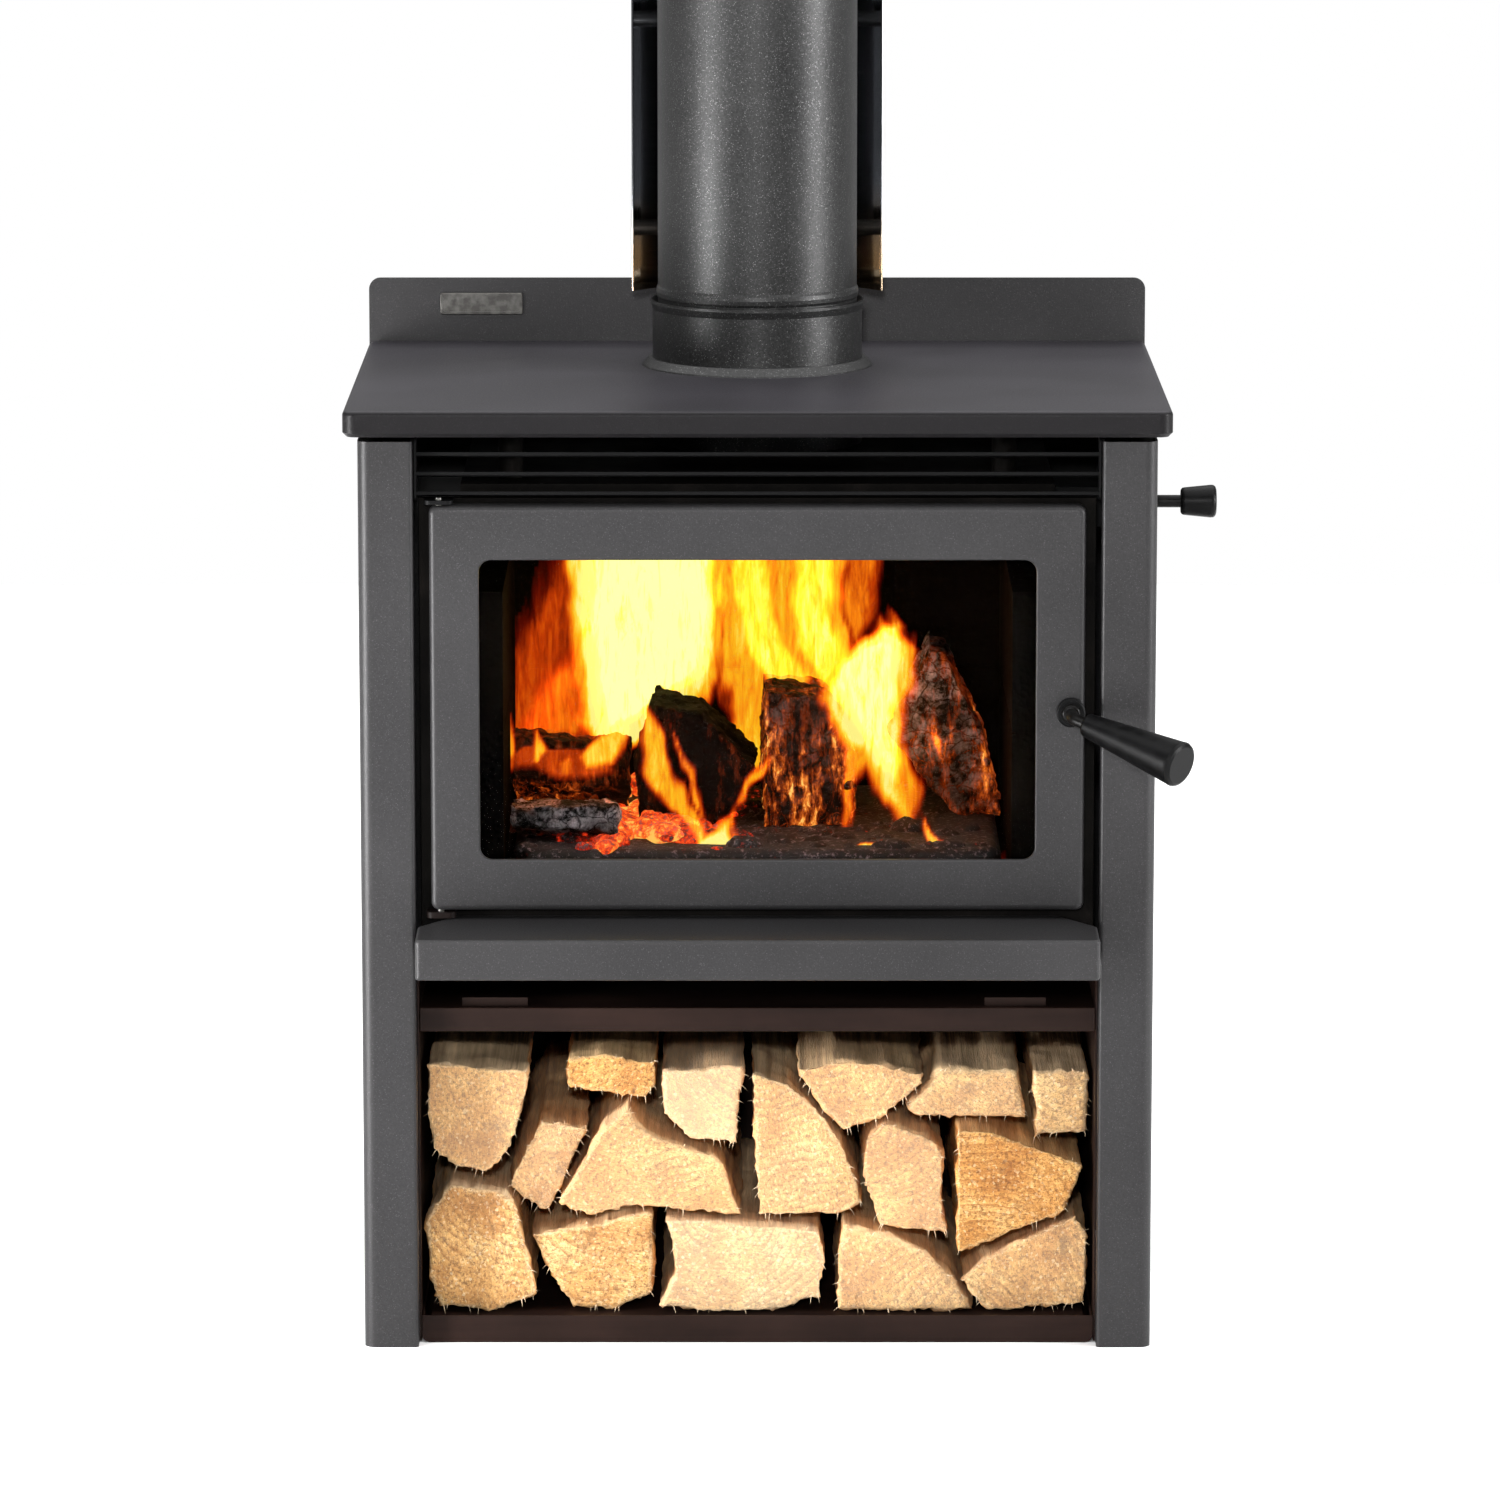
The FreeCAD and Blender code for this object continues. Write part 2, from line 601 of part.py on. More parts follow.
def store_raised_floor():
    """Sheet turned down at the front and rear, standing in the pan, open over the floor anchors."""
    half = 241.5
    front = STORE_FRONT_Y + STORE_SHEET + 0.4
    rear = STORE_REAR_Y - STORE_SHEET - 0.4
    floor = block(-half, half, front, rear, STORE_SHEET, STORE_FLOOR)
    floor = floor.makeFillet(1.0, edges_along(floor, X_AXIS, lambda m: m.z > STORE_FLOOR - 1))
    hollow_top = STORE_FLOOR - STORE_SHEET
    floor = floor.cut(
        block(-half - 1, half + 1, front + STORE_SHEET, rear - STORE_SHEET, 0, hollow_top)
    )
    for x in (-FIXING_X, FIXING_X):
        for y in FIXING_Y:
            floor = floor.cut(rod(FIXING_R + 1, (x, y, hollow_top - 1), Z_AXIS, 4))
    return floor


def store_base():
    """Floor pan with front, side and rear lips and four holes for anchors, and the raised floor in it."""
    half = 247.9
    outer = block(-half, half, STORE_FRONT_Y, STORE_REAR_Y, 0, BASE_LIP)
    outer = outer.makeFillet(6.0, edges_along(outer, Y_AXIS, lambda m: m.z < 1))
    inner = block(
        -half + STORE_SHEET, half - STORE_SHEET, STORE_FRONT_Y + STORE_SHEET,
        STORE_REAR_Y - STORE_SHEET, STORE_SHEET, BASE_LIP + 1,
    )
    inner = inner.makeFillet(6.0 - STORE_SHEET, edges_along(inner, Y_AXIS, lambda m: m.z < 5))
    pan = outer.cut(inner)
    for x in (-FIXING_X, FIXING_X):
        for y in FIXING_Y:
            pan = pan.cut(rod(FIXING_R, (x, y, -1), Z_AXIS, 4))
    return group([pan, store_raised_floor()])


def store_back():
    back = block(-248, 248, STORE_REAR_Y, STORE_REAR_Y + STORE_SHEET, 1, ROOF_TOP)
    return back.makeFillet(4.0, edges_along(back, Y_AXIS))


def store_liner_right():
    """Inner side wall of the wood store, which also carries the firebox."""
    liner = block(LINER_X - STORE_SHEET, LINER_X, STORE_FRONT_Y + 1, STORE_REAR_Y, 1, 300)
    return liner.fuse(block(LINER_X - 14, LINER_X, -150, 180, 298.8, 300)).removeSplitter()


LOG_FOOT = STORE_FLOOR + 0.2  # underside of the lowest logs

# Ends of the split logs in the wood store: (front face's Y, outline in X and Z).
FIREWOOD = (
    (-141, ((-246, 168), (-239, 138), (-219, 126), (-198, 125), (-183, 141), (-177, 156), (-171, 181),
            (-169, 202), (-243, 208))),
    (-130, ((-186, 111), (-168, 97), (-154, 91), (-138, 125), (-125, 156), (-161, 162), (-171, 143))),
    (-126, ((-143, 196), (-139, 185), (-105, 179), (-82, 176), (-73, 190), (-74, 206), (-111, 211),
            (-140, 208))),
    (-139, ((-148, 100), (-124, 89), (-90, 98), (-44, 93), (-11, 90), (-20, 117), (-30, 136), (-48, 142),
            (-85, 156), (-95, 174), (-116, 156), (-136, 122))),
    (-131, ((-71, 200), (-71, 167), (-47, 146), (-15, 144), (-10, 202))),
    (-142, ((-229, 117), (-186, 109), (-179, 101), (-164, 40), (-163, 31), (-196, LOG_FOOT), (-237, 23),
            (-243, 41), (-246, 87))),
    (-135, ((-169, 76), (-120, 85), (-75, 95), (-77, 45), (-79, 29), (-105, LOG_FOOT), (-137, 19),
            (-146, 31), (-160, 57))),
    (-141, ((-70, 90), (45, 82), (50, 59), (46, 30), (19, 19.5), (-21, LOG_FOOT), (-74, 21), (-62, 45),
            (-64, 70))),
    (-134, ((-5, 201), (23, 190), (46, 168), (64, 144), (74, 118), (80, 99), (60, 91), (0, 88), (-3, 144))),
    (-133, ((27, 201), (48, 171), (64, 153), (94, 166), (119, 184), (126, 197), (94, 205), (59, 208))),
    (-129, ((132, 201), (123, 184), (109, 173), (111, 164), (141, 162), (200, 162), (194, 201))),
    (-128, ((202, 199), (205, 148), (245, 150), (246, 198))),
    (-137, ((94, 163), (80, 150), (76, 125), (85, 98), (90, 81), (143, 77), (136, 103), (140, 137),
            (127, 151))),
    (-141, ((146, 158), (175, 156), (211, 143), (243, 131), (228, 94), (203, 83), (148, 62), (146, 107))),
    (-140, ((62, 85), (95, 77), (124, 65), (145, 46), (158, 26), (163, LOG_FOOT), (58, LOG_FOOT), (57, 28))),
    (-137, ((236, 92), (245, 80), (246, 55), (243, 22), (171, LOG_FOOT), (158, 31), (150, 42), (167, 58))),
)


def firewood_pairs():
    """The sixteen split logs, two to a node."""
    logs = [
        prism([(x, front_y, z) for x, z in outline], (0, LOG_LENGTH, 0)) for front_y, outline in FIREWOOD
    ]
    return [group(logs[i:i + 2]) for i in range(0, len(logs), 2)]


# ---------------------------------------------------------------- the fire
HEARTH = BRICK_FLOOR + BRICK


def ember_bed():
    """Low heap of embers and ash over the firebricks."""
    bed = rounded_block(-180, 180, -138, 140, HEARTH, HEARTH + 14, 30, Z_AXIS)
    return bed.makeFillet(9.0, edges_at(bed, Z_AXIS, HEARTH + 14))


def burning_logs():
    """Five logs resting on the embers and on each other."""
    top = HEARTH + 14
    left_front = prism(
        [(-184, -108, top + 10), (-184, -76, top), (-184, -44, top + 6),
         (-184, -48, top + 26), (-184, -98, top + 28)],
        (80, -12, 0),
    )
    left_rear = prism(
        [(-184, -14, top + 30), (-184, 18, top + 6), (-184, 46, top + 20),
         (-184, 42, top + 62), (-184, -8, top + 64)],
        (88, 4, -6),
    )
    centre = prism(
        [(-88, -52, top), (-36, -52, top), (-14, -52, top + 10), (2, -52, top + 48),
         (-42, -52, top + 88), (-76, -52, top + 94), (-92, -52, top + 50)],
        (0, 90, 0),
    )
    right_centre = prism(
        [(6, -42, top), (72, -42, top), (78, -42, top + 44), (56, -42, top + 96), (6, -42, top + 104)],
        (-4, 96, 0),
    )
    leaning = prism(
        [(128, 0, top + 130), (98, 0, top + 62), (148, 0, top),
         (184, 0, top), (170, 0, top + 62), (143, 0, top + 124)],
        (0, 56, 6),
    )
    return group([left_front, left_rear, centre, right_centre, leaning])


# ---------------------------------------------------------------- door
def door_frame():
    """Pressed door: flat face, rolled edge, turned back sides and a rounded window."""
    outer = rounded_block(
        -DOOR_HALF, DOOR_HALF, DOOR_FRONT_Y, DOOR_REAR_Y, DOOR_BOTTOM, DOOR_TOP, 6, Y_AXIS
    )
    outer = outer.makeFillet(4.5, edges_at(outer, Y_AXIS, DOOR_FRONT_Y))
    inset = DOOR_SHEET
    hollow = rounded_block(
        -DOOR_HALF + inset, DOOR_HALF - inset, DOOR_FRONT_Y + inset, DOOR_REAR_Y + 1,
        DOOR_BOTTOM + inset, DOOR_TOP - inset, 3, Y_AXIS,
    )
    window = rounded_block(
        -WINDOW_HALF, WINDOW_HALF, DOOR_FRONT_Y - 1, DOOR_REAR_Y, WINDOW_BOTTOM, WINDOW_TOP, 9, Y_AXIS
    )
    frame = outer.cut(hollow).cut(window)
    sill = [
        e for e in edges_at(frame, Y_AXIS, DOOR_FRONT_Y)
        if abs(e.CenterOfMass.x) < WINDOW_HALF + 1 and WINDOW_BOTTOM - 1 < e.CenterOfMass.z < WINDOW_TOP + 1
    ]
    frame = frame.makeFillet(1.5, sill)
    hinge_relief = block(-DOOR_HALF - 1, -DOOR_HALF + inset + 0.1, -160, -150, 300, 650)
    frame = frame.cut(hinge_relief)
    frame = frame.cut(rod(BUSH_R, (LATCH_X, -180, LATCH_Z), Y_AXIS, 20))
    pin_clear = HINGE_PIN_R + 0.3
    frame = frame.cut(rod(pin_clear, (HINGE_X, HINGE_Y, DOOR_BOTTOM - 1), Z_AXIS, 6))
    return frame.cut(rod(pin_clear, (HINGE_X, HINGE_Y, DOOR_TOP - 5), Z_AXIS, 6))


BUSH_R = 8.5
RETAINERS = ((-120, GLASS_TOP, 1), (120, GLASS_TOP, 1), (-120, GLASS_BOTTOM, -1), (120, GLASS_BOTTOM, -1))
FRAME_REAR_Y = DOOR_FRONT_Y + DOOR_SHEET
GLASS_FRONT_Y = FRAME_REAR_Y + GASKET_THICK
GLASS_REAR_Y = GLASS_FRONT_Y + GLASS_THICK


def glass_gasket():
    return rounded_frame(
        GLASS_HALF, GLASS_BOTTOM, GLASS_TOP, WINDOW_HALF + 0.8, WINDOW_BOTTOM - 0.8, WINDOW_TOP + 0.8,
        FRAME_REAR_Y, GLASS_FRONT_Y, (4, 9),
    )


def door_glass():
    glass = rounded_block(
        -GLASS_HALF, GLASS_HALF, GLASS_FRONT_Y, GLASS_REAR_Y, GLASS_BOTTOM, GLASS_TOP, 4, Y_AXIS
    )
    return glass.makeChamfer(0.6, edges_at(glass, Y_AXIS, GLASS_FRONT_Y))


def glass_retainers():
    """Four spring clips, screwed to the frame just outside the glass, that press it forward."""
    clips = []
    for x, edge, side in RETAINERS:
        foot_z = edge + side * 0.6
        clip = prism(
            [(x - 14, FRAME_REAR_Y, foot_z), (x - 14, FRAME_REAR_Y, edge + side * 9.5),
             (x - 14, FRAME_REAR_Y + 1.5, edge + side * 9.5), (x - 14, FRAME_REAR_Y + 1.5, edge + side * 2.1),
             (x - 14, GLASS_REAR_Y + 1.5, edge + side * 2.1), (x - 14, GLASS_REAR_Y + 1.5, edge - side * 6),
             (x - 14, GLASS_REAR_Y, edge - side * 6), (x - 14, GLASS_REAR_Y, foot_z)],
            (28, 0, 0),
        )
        clips.append(clip.cut(rod(2.0, (x, FRAME_REAR_Y - 1, edge + side * 5.8), Y_AXIS, 5)))
    return group(clips)


def retainer_screws():
    screw = pan_screw(2.0, 3.4, 2.0, 1.5)
    solids = []
    for x, edge, side in RETAINERS:
        solids.append(placed(screw, (x, FRAME_REAR_Y + 3.5, edge + side * 5.8), 180))
    return group(solids)


SEAL_INNER_HALF = 211.0
SEAL_WIDTH = 8.0


def door_rope_seal():
    """Woven rope round the glass that the door presses against the face plate."""
    bottom, top = 346.0, 608.5
    seal = rounded_frame(
        SEAL_INNER_HALF + SEAL_WIDTH, bottom - 4, top + 4, SEAL_INNER_HALF, bottom + 4, top - 4,
        FRAME_REAR_Y + 3.8, FACE_FRONT_Y - 0.5, (12, 5),
    )
    return seal.makeFillet(2.0, edges_at(seal, Y_AXIS, FACE_FRONT_Y - 0.5))


def handle_bush():
    """Flanged bush through the door's face that carries the handle's spindle."""
    bore = SPINDLE_R + 0.05
    return turned(
        [(bore, 0.0), (9.4, 0.0), (10.5, 1.0), (10.5, 6.0), (BUSH_R, 6.0), (BUSH_R, 18.0), (bore, 18.0)],
        Vector(LATCH_X, DOOR_FRONT_Y - 6, LATCH_Z), Y_AXIS,
    )


def hinge_knuckles():
    """Two bored blocks welded in the door's left edge, top and bottom."""
    solids = []
    for z0, z1 in ((DOOR_BOTTOM + 6.2, 345), (610, DOOR_TOP - 6.2)):
        knuckle = block(-235.5, -226.5, FRAME_REAR_Y, -161.5, z0, z1)
        knuckle = knuckle.makeFillet(2.0, edges_along(knuckle, Z_AXIS, lambda m: m.y > -165))
        bore = rod(HINGE_PIN_R + HINGE_FIT, (HINGE_X, HINGE_Y, z0 - 1), Z_AXIS, z1 - z0 + 2)
        solids.append(knuckle.cut(bore))
    return group(solids)


def hinge_brackets():
    """Lugs on the face plate above and below the door, bored for the pins."""
    solids = []
    for z0, z1 in ((322.3, 326.6), (627.7, FACE_TOP)):
        lug = block(-242, -221, -172, FACE_FRONT_Y, z0, z1)
        lug = lug.makeFillet(5.0, edges_along(lug, Z_AXIS, lambda m: m.y < -170))
        solids.append(lug.cut(rod(HINGE_PIN_R, (HINGE_X, HINGE_Y, z0 - 1), Z_AXIS, 8)))
    return group(solids)


def hinge_pins():
    upper = rod(HINGE_PIN_R, (HINGE_X, HINGE_Y, 611), Z_AXIS, 21)
    lower = rod(HINGE_PIN_R, (HINGE_X, HINGE_Y, 322.3), Z_AXIS, 21.7)
    return group([upper, lower])


# ---------------------------------------------------------------- handle and latch
CAM_FRONT_Y = -146.5
CAM_THICK = 5.0
NUT_R = 6.2  # over the corners


def bent_rod(radius, points, bend_radius):
    """Round rod through three points with one tangent bend."""
    start, corner, end = points
    into = corner.sub(start).normalize()
    out = end.sub(corner).normalize()
    turn = math.acos(into.dot(out))
    trim = bend_radius * math.tan(turn / 2)
    first = corner.sub(into * trim)
    last = corner.add(out * trim)
    towards = (out - into).normalize()
    centre = corner.add(towards * (bend_radius / math.cos(turn / 2)))
    middle = centre.sub(towards * bend_radius)
    path = Part.Wire([
        Part.LineSegment(start, first).toShape(),
        Part.Arc(first, middle, last).toShape(),
        Part.LineSegment(last, end).toShape(),
    ])
    circle = Part.Wire(Part.makeCircle(radius, start, into))
    return path.makePipeShell([circle], True, True)


def grip_point(distance):
    corner = Vector(LATCH_X, HANDLE_BEND_Y, LATCH_Z)
    return corner.add(Vector(GRIP_DIRECTION).normalize() * distance)


def handle_stem():
    """Spindle through the door with a rod that bends outwards to the grip."""
    spindle = rod(SPINDLE_R, (LATCH_X, -183.5, LATCH_Z), Y_AXIS, 26.0)
    spindle = spindle.makeFillet(2.6, edges_at(spindle, Y_AXIS, -183.5))
    shank = rod(SHANK_R, (LATCH_X, -158.0, LATCH_Z), Y_AXIS, 22.0)
    arm = bent_rod(
        HANDLE_ROD_R, (Vector(LATCH_X, -170, LATCH_Z), grip_point(0), grip_point(GRIP_START + 30)), 11.0
    )
    return spindle.fuse(shank).fuse(arm).removeSplitter()


def handle_grip():
    """Tapered grip, thickest at its flat free end, bored for the rod."""
    length = GRIP_LENGTH
    return turned(
        [(HANDLE_ROD_R, 0), (GRIP_SMALL_R - 1.6, 0), (GRIP_SMALL_R - 0.4, 0.8), (GRIP_SMALL_R + 0.1, 2.2),
         (GRIP_LARGE_R - 0.3, length - 5.0), (GRIP_LARGE_R, length - 3.2), (GRIP_LARGE_R - 0.9, length - 1.2),
         (GRIP_LARGE_R - 3.0, length), (0, length), (0, 30), (HANDLE_ROD_R, 30)],
        grip_point(GRIP_START), Vector(GRIP_DIRECTION).normalize(),
    )


def latch_cam():
    """Arm on the spindle that turns behind the face plate's keeper."""
    hub = rod(6.2, (LATCH_X, CAM_FRONT_Y, LATCH_Z), Y_AXIS, CAM_THICK)
    arm = block(LATCH_X, LATCH_X + 17, CAM_FRONT_Y, CAM_FRONT_Y + CAM_THICK, LATCH_Z - 4.5, LATCH_Z + 4.5)
    arm = arm.makeFillet(3.0, edges_along(arm, Y_AXIS, lambda m: m.x > LATCH_X + 10))
    cam = hub.fuse(arm).removeSplitter()
    return cam.cut(rod(SHANK_R, (LATCH_X, -160, LATCH_Z), Y_AXIS, 30))


def latch_nut():
    """Hexagon nut that holds the cam on the spindle."""
    rear = CAM_FRONT_Y + CAM_THICK
    corners = []
    for i in range(6):
        angle = math.radians(60 * i)
        corners.append((LATCH_X + NUT_R * math.cos(angle), rear, LATCH_Z + NUT_R * math.sin(angle)))
    nut = prism(corners, (0, 5, 0))
    return nut.cut(rod(SHANK_R, (LATCH_X, rear - 1, LATCH_Z), Y_AXIS, 8))


def latch_keeper():
    """Hardened strip behind the face plate that the cam pulls against."""
    keeper_rear = CAM_FRONT_Y - 0.4
    return block(236, 245.5, FACE_FRONT_Y + FACE_THICK, keeper_rear, 462, 489)


# ---------------------------------------------------------------- all nodes
def build():
    os.makedirs("parts", exist_ok=True)
    right_panel = side_panel_right()
    save("top_plate", top_plate())
    save("plate_supports", plate_supports())
    save("rear_upstand", rear_upstand())
    save("badge_plate", badge_plate())
    save("side_panel_left", mirrored(right_panel))
    save("side_panel_right", drilled_for_air_rod(right_panel))
    save("rear_heat_shield", rear_heat_shield())
    save("casing_screws", casing_screws())
    save("grille_slats", grille_slats())
    save("grille_brackets", grille_brackets())
    save("firebox_shell", firebox_shell())
    save("firebox_supports", firebox_supports())
    save("firebrick_base", firebrick_base())
    save("firebrick_left", mirrored(firebrick_right()))
    save("firebrick_right", firebrick_right())
    save("firebrick_rear", firebrick_rear())
    save("baffle_plate", baffle_plate())
    save("secondary_air_tubes", secondary_air_tubes())
    save("air_wash_deflector", air_wash_deflector())
    save("air_inlet_box", air_inlet_box())
    save("rod_guide_bush", rod_guide_bush())
    save("flue_collar", flue_collar())
    save("flue_base_ring", flue_base_ring())
    save("flue_pipe", flue_pipe())
    save("flue_shield", flue_shield())
    save("shield_standoffs", shield_standoffs())
    save("ash_shelf", ash_shelf())
    save("store_roof", store_roof())
    save("store_base", store_base())
    save("store_back", store_back())
    save("store_liner_left", mirrored(store_liner_right()))
    save("store_liner_right", store_liner_right())
    save("hinge_brackets", hinge_brackets())
    save("hinge_pins", hinge_pins())
    save("latch_keeper", latch_keeper())
    save("ember_bed", ember_bed())
    save("burning_logs", burning_logs())
    for number, pair in enumerate(firewood_pairs(), start=1):
        save(f"firewood_{number}", pair)
    save("door_frame", door_frame())
    save("door_glass", door_glass())
    save("glass_gasket", glass_gasket())
    save("glass_retainers", glass_retainers())
    save("retainer_screws", retainer_screws())
    save("door_rope_seal", door_rope_seal())
    save("handle_bush", handle_bush())
    save("hinge_knuckles", hinge_knuckles())
    save("handle_stem", handle_stem())
    save("handle_grip", handle_grip())
    save("latch_cam", latch_cam())
    save("latch_nut", latch_nut())
    save("air_rod", air_rod())
    save("air_knob", air_knob())
    save("air_slide_plate", air_slide_plate())


build()
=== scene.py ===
import json
import math
import random

import bmesh
import bpy
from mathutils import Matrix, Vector, noise

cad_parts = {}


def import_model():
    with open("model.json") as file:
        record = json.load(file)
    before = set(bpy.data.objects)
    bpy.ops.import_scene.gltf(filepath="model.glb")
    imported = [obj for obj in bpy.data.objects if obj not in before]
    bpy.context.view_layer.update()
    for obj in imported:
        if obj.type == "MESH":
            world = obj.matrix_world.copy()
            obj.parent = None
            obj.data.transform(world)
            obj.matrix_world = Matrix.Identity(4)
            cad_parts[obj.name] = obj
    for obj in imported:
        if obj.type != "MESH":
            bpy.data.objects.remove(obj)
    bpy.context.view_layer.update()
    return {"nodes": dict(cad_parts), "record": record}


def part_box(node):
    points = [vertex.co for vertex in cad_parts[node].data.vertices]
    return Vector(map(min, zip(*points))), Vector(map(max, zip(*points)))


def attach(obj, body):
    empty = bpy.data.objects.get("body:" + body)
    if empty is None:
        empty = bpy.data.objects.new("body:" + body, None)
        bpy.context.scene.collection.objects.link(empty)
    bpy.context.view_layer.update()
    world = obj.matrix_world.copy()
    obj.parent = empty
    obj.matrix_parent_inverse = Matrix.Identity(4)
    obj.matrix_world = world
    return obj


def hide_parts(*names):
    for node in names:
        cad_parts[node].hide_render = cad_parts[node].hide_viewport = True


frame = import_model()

# Wood burning stove: looks, fire, firewood, floor, lights and camera, in metres. Its front faces -Y.

_, WINDOW_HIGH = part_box("door_glass")
HEARTH_LOW, HEARTH_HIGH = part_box("ember_bed")


# ---------------------------------------------------------------- node helpers
class Graph:
    """One material with a Principled shader, and short calls to build its nodes."""

    def __init__(self, name):
        self.material = bpy.data.materials.new(name)
        self.material.use_nodes = True
        self.tree = self.material.node_tree
        self.tree.nodes.clear()
        self.output = self.add("ShaderNodeOutputMaterial")
        self.shader = self.add("ShaderNodeBsdfPrincipled")
        self.tree.links.new(self.shader.outputs["BSDF"], self.output.inputs["Surface"])
        self.place = self.add("ShaderNodeTexCoord").outputs["Object"]

    def add(self, kind, **settings):
        """Adds a node and sets its options."""
        node = self.tree.nodes.new(kind)
        for key, value in settings.items():
            setattr(node, key, value)
        return node

    def plug(self, socket, value):
        """Links a socket to another node's output, or sets it to a plain value."""
        if isinstance(value, bpy.types.NodeSocket):
            self.tree.links.new(value, socket)
        else:
            socket.default_value = value

    def set(self, **values):
        """Sets or links the shader's sockets; spaces in their names are written as underscores."""
        for key, value in values.items():
            self.plug(self.shader.inputs[key.replace("_", " ")], value)

    def scaled(self, scale, place=None):
        """Places stretched along the axes, for textures that are longer one way than another."""
        node = self.add("ShaderNodeMapping")
        self.plug(node.inputs["Vector"], place or self.place)
        node.inputs["Scale"].default_value = scale
        return node.outputs["Vector"]

    def noise(self, scale, detail=3.0, rough=0.55, place=None, distort=0.0):
        """Cloudy texture, about 0.3 to 0.7; the scale is in clouds to the metre."""
        node = self.add("ShaderNodeTexNoise")
        self.plug(node.inputs["Vector"], place or self.place)
        node.inputs["Scale"].default_value = scale
        node.inputs["Detail"].default_value = detail
        node.inputs["Roughness"].default_value = rough
        node.inputs["Distortion"].default_value = distort
        return node.outputs["Fac"]

    def cells(self, scale, feature="F1", output="Distance", place=None):
        """Cell texture; the scale is in cells to the metre."""
        node = self.add("ShaderNodeTexVoronoi", feature=feature)
        self.plug(node.inputs["Vector"], place or self.place)
        node.inputs["Scale"].default_value = scale
        return node.outputs[output]

    def wave(self, scale, distort, place=None, direction="X"):
        """Bands across one direction."""
        node = self.add("ShaderNodeTexWave", bands_direction=direction)
        self.plug(node.inputs["Vector"], place or self.place)
        node.inputs["Scale"].default_value = scale
        node.inputs["Distortion"].default_value = distort
        return node.outputs["Fac"]

    def math(self, operation, a, b=0.0, clamp=False):
        node = self.add("ShaderNodeMath", operation=operation, use_clamp=clamp)
        self.plug(node.inputs[0], a)
        self.plug(node.inputs[1], b)
        return node.outputs[0]

    def spread(self, value, low, high, out_low=0.0, out_high=1.0):
        """Maps a value's range to another one and clamps it."""
        node = self.add("ShaderNodeMapRange")
        self.plug(node.inputs["Value"], value)
        node.inputs["From Min"].default_value = low
        node.inputs["From Max"].default_value = high
        node.inputs["To Min"].default_value = out_low
        node.inputs["To Max"].default_value = out_high
        return node.outputs["Result"]

    def ramp(self, value, stops):
        """Colour ramp from (position, (red, green, blue)) stops."""
        node = self.add("ShaderNodeValToRGB")
        self.plug(node.inputs["Fac"], value)
        elements = node.color_ramp.elements
        while len(elements) < len(stops):
            elements.new(0.5)
        for element, (position, color) in zip(elements, stops):
            element.position = position
            element.color = (*color, 1.0)
        return node.outputs["Color"]

    def mix(self, factor, a, b, blend="MIX"):
        """Mixes two colours, each a node's output or (red, green, blue)."""
        node = self.add("ShaderNodeMix", data_type="RGBA", blend_type=blend)
        self.plug(node.inputs["Factor"], factor)
        for socket, value in ((node.inputs[6], a), (node.inputs[7], b)):
            self.plug(socket, value if isinstance(value, bpy.types.NodeSocket) else (*value, 1.0))
        return node.outputs[2]

    def attribute(self, name, output="Fac"):
        return self.add("ShaderNodeAttribute", attribute_name=name).outputs[output]

    def split(self, vector):
        node = self.add("ShaderNodeSeparateXYZ")
        self.plug(node.inputs[0], vector)
        return node.outputs

    def normal(self, output="Normal"):
        return self.add("ShaderNodeNewGeometry").outputs[output]

    def bump(self, height, strength, distance=0.001):
        node = self.add("ShaderNodeBump")
        node.inputs["Strength"].default_value = strength
        node.inputs["Distance"].default_value = distance
        self.plug(node.inputs["Height"], height)
        self.set(Normal=node.outputs["Normal"])


# ---------------------------------------------------------------- metal and paint
FLECKS = 2100.0  # metallic flecks to the metre


def satin_paint(
    name, dark, light, rough=0.42, metallic=0.35, sparkle=0.5, grain_mm=1.3, gloss=0.25, painted_top_light=None
):
    """Satin heat-proof paint: fine metallic speckle, slight unevenness and perhaps a lighter colour on
    upper faces, which is painted light.
    """
    g = Graph(name)
    grain = g.noise(1000.0 / grain_mm, detail=2.0, rough=0.7)
    cloud = g.noise(7.0, detail=4.0)
    tone = g.math("ADD", g.math("MULTIPLY", grain, 0.55), g.math("MULTIPLY", cloud, 0.45))
    base = g.mix(g.spread(tone, 0.33, 0.67), dark, light)
    fleck = g.cells(FLECKS, output="Color")
    glint = g.spread(g.split(fleck)[0], 0.95, 1.0)
    bright = tuple(min(1.0, channel * 4.0) for channel in light)
    base = g.mix(g.math("MULTIPLY", glint, sparkle), base, bright)
    # Painted light: faces turned upwards are lightened in clouds, so the top looks more lit than the front.
    if painted_top_light:
        upward = g.spread(g.split(g.normal("True Normal"))[2], 0.6, 0.95)
        base = g.mix(g.math("MULTIPLY", upward, g.spread(cloud, 0.3, 0.7, 0.6, 1.0)), base, painted_top_light)
    unevenness = g.math("ADD", grain, g.math("MULTIPLY", cloud, 0.4))
    g.set(Base_Color=base, Metallic=metallic, Specular_IOR_Level=gloss)
    g.set(Roughness=g.spread(unevenness, 0.4, 1.0, rough - 0.05, rough + 0.09))
    g.bump(grain, 0.45, 0.00028)
    return g.material


BROWN_BELOW, CLEAN_ABOVE = 0.30, 0.34  # heights between which the browning of the log store fades


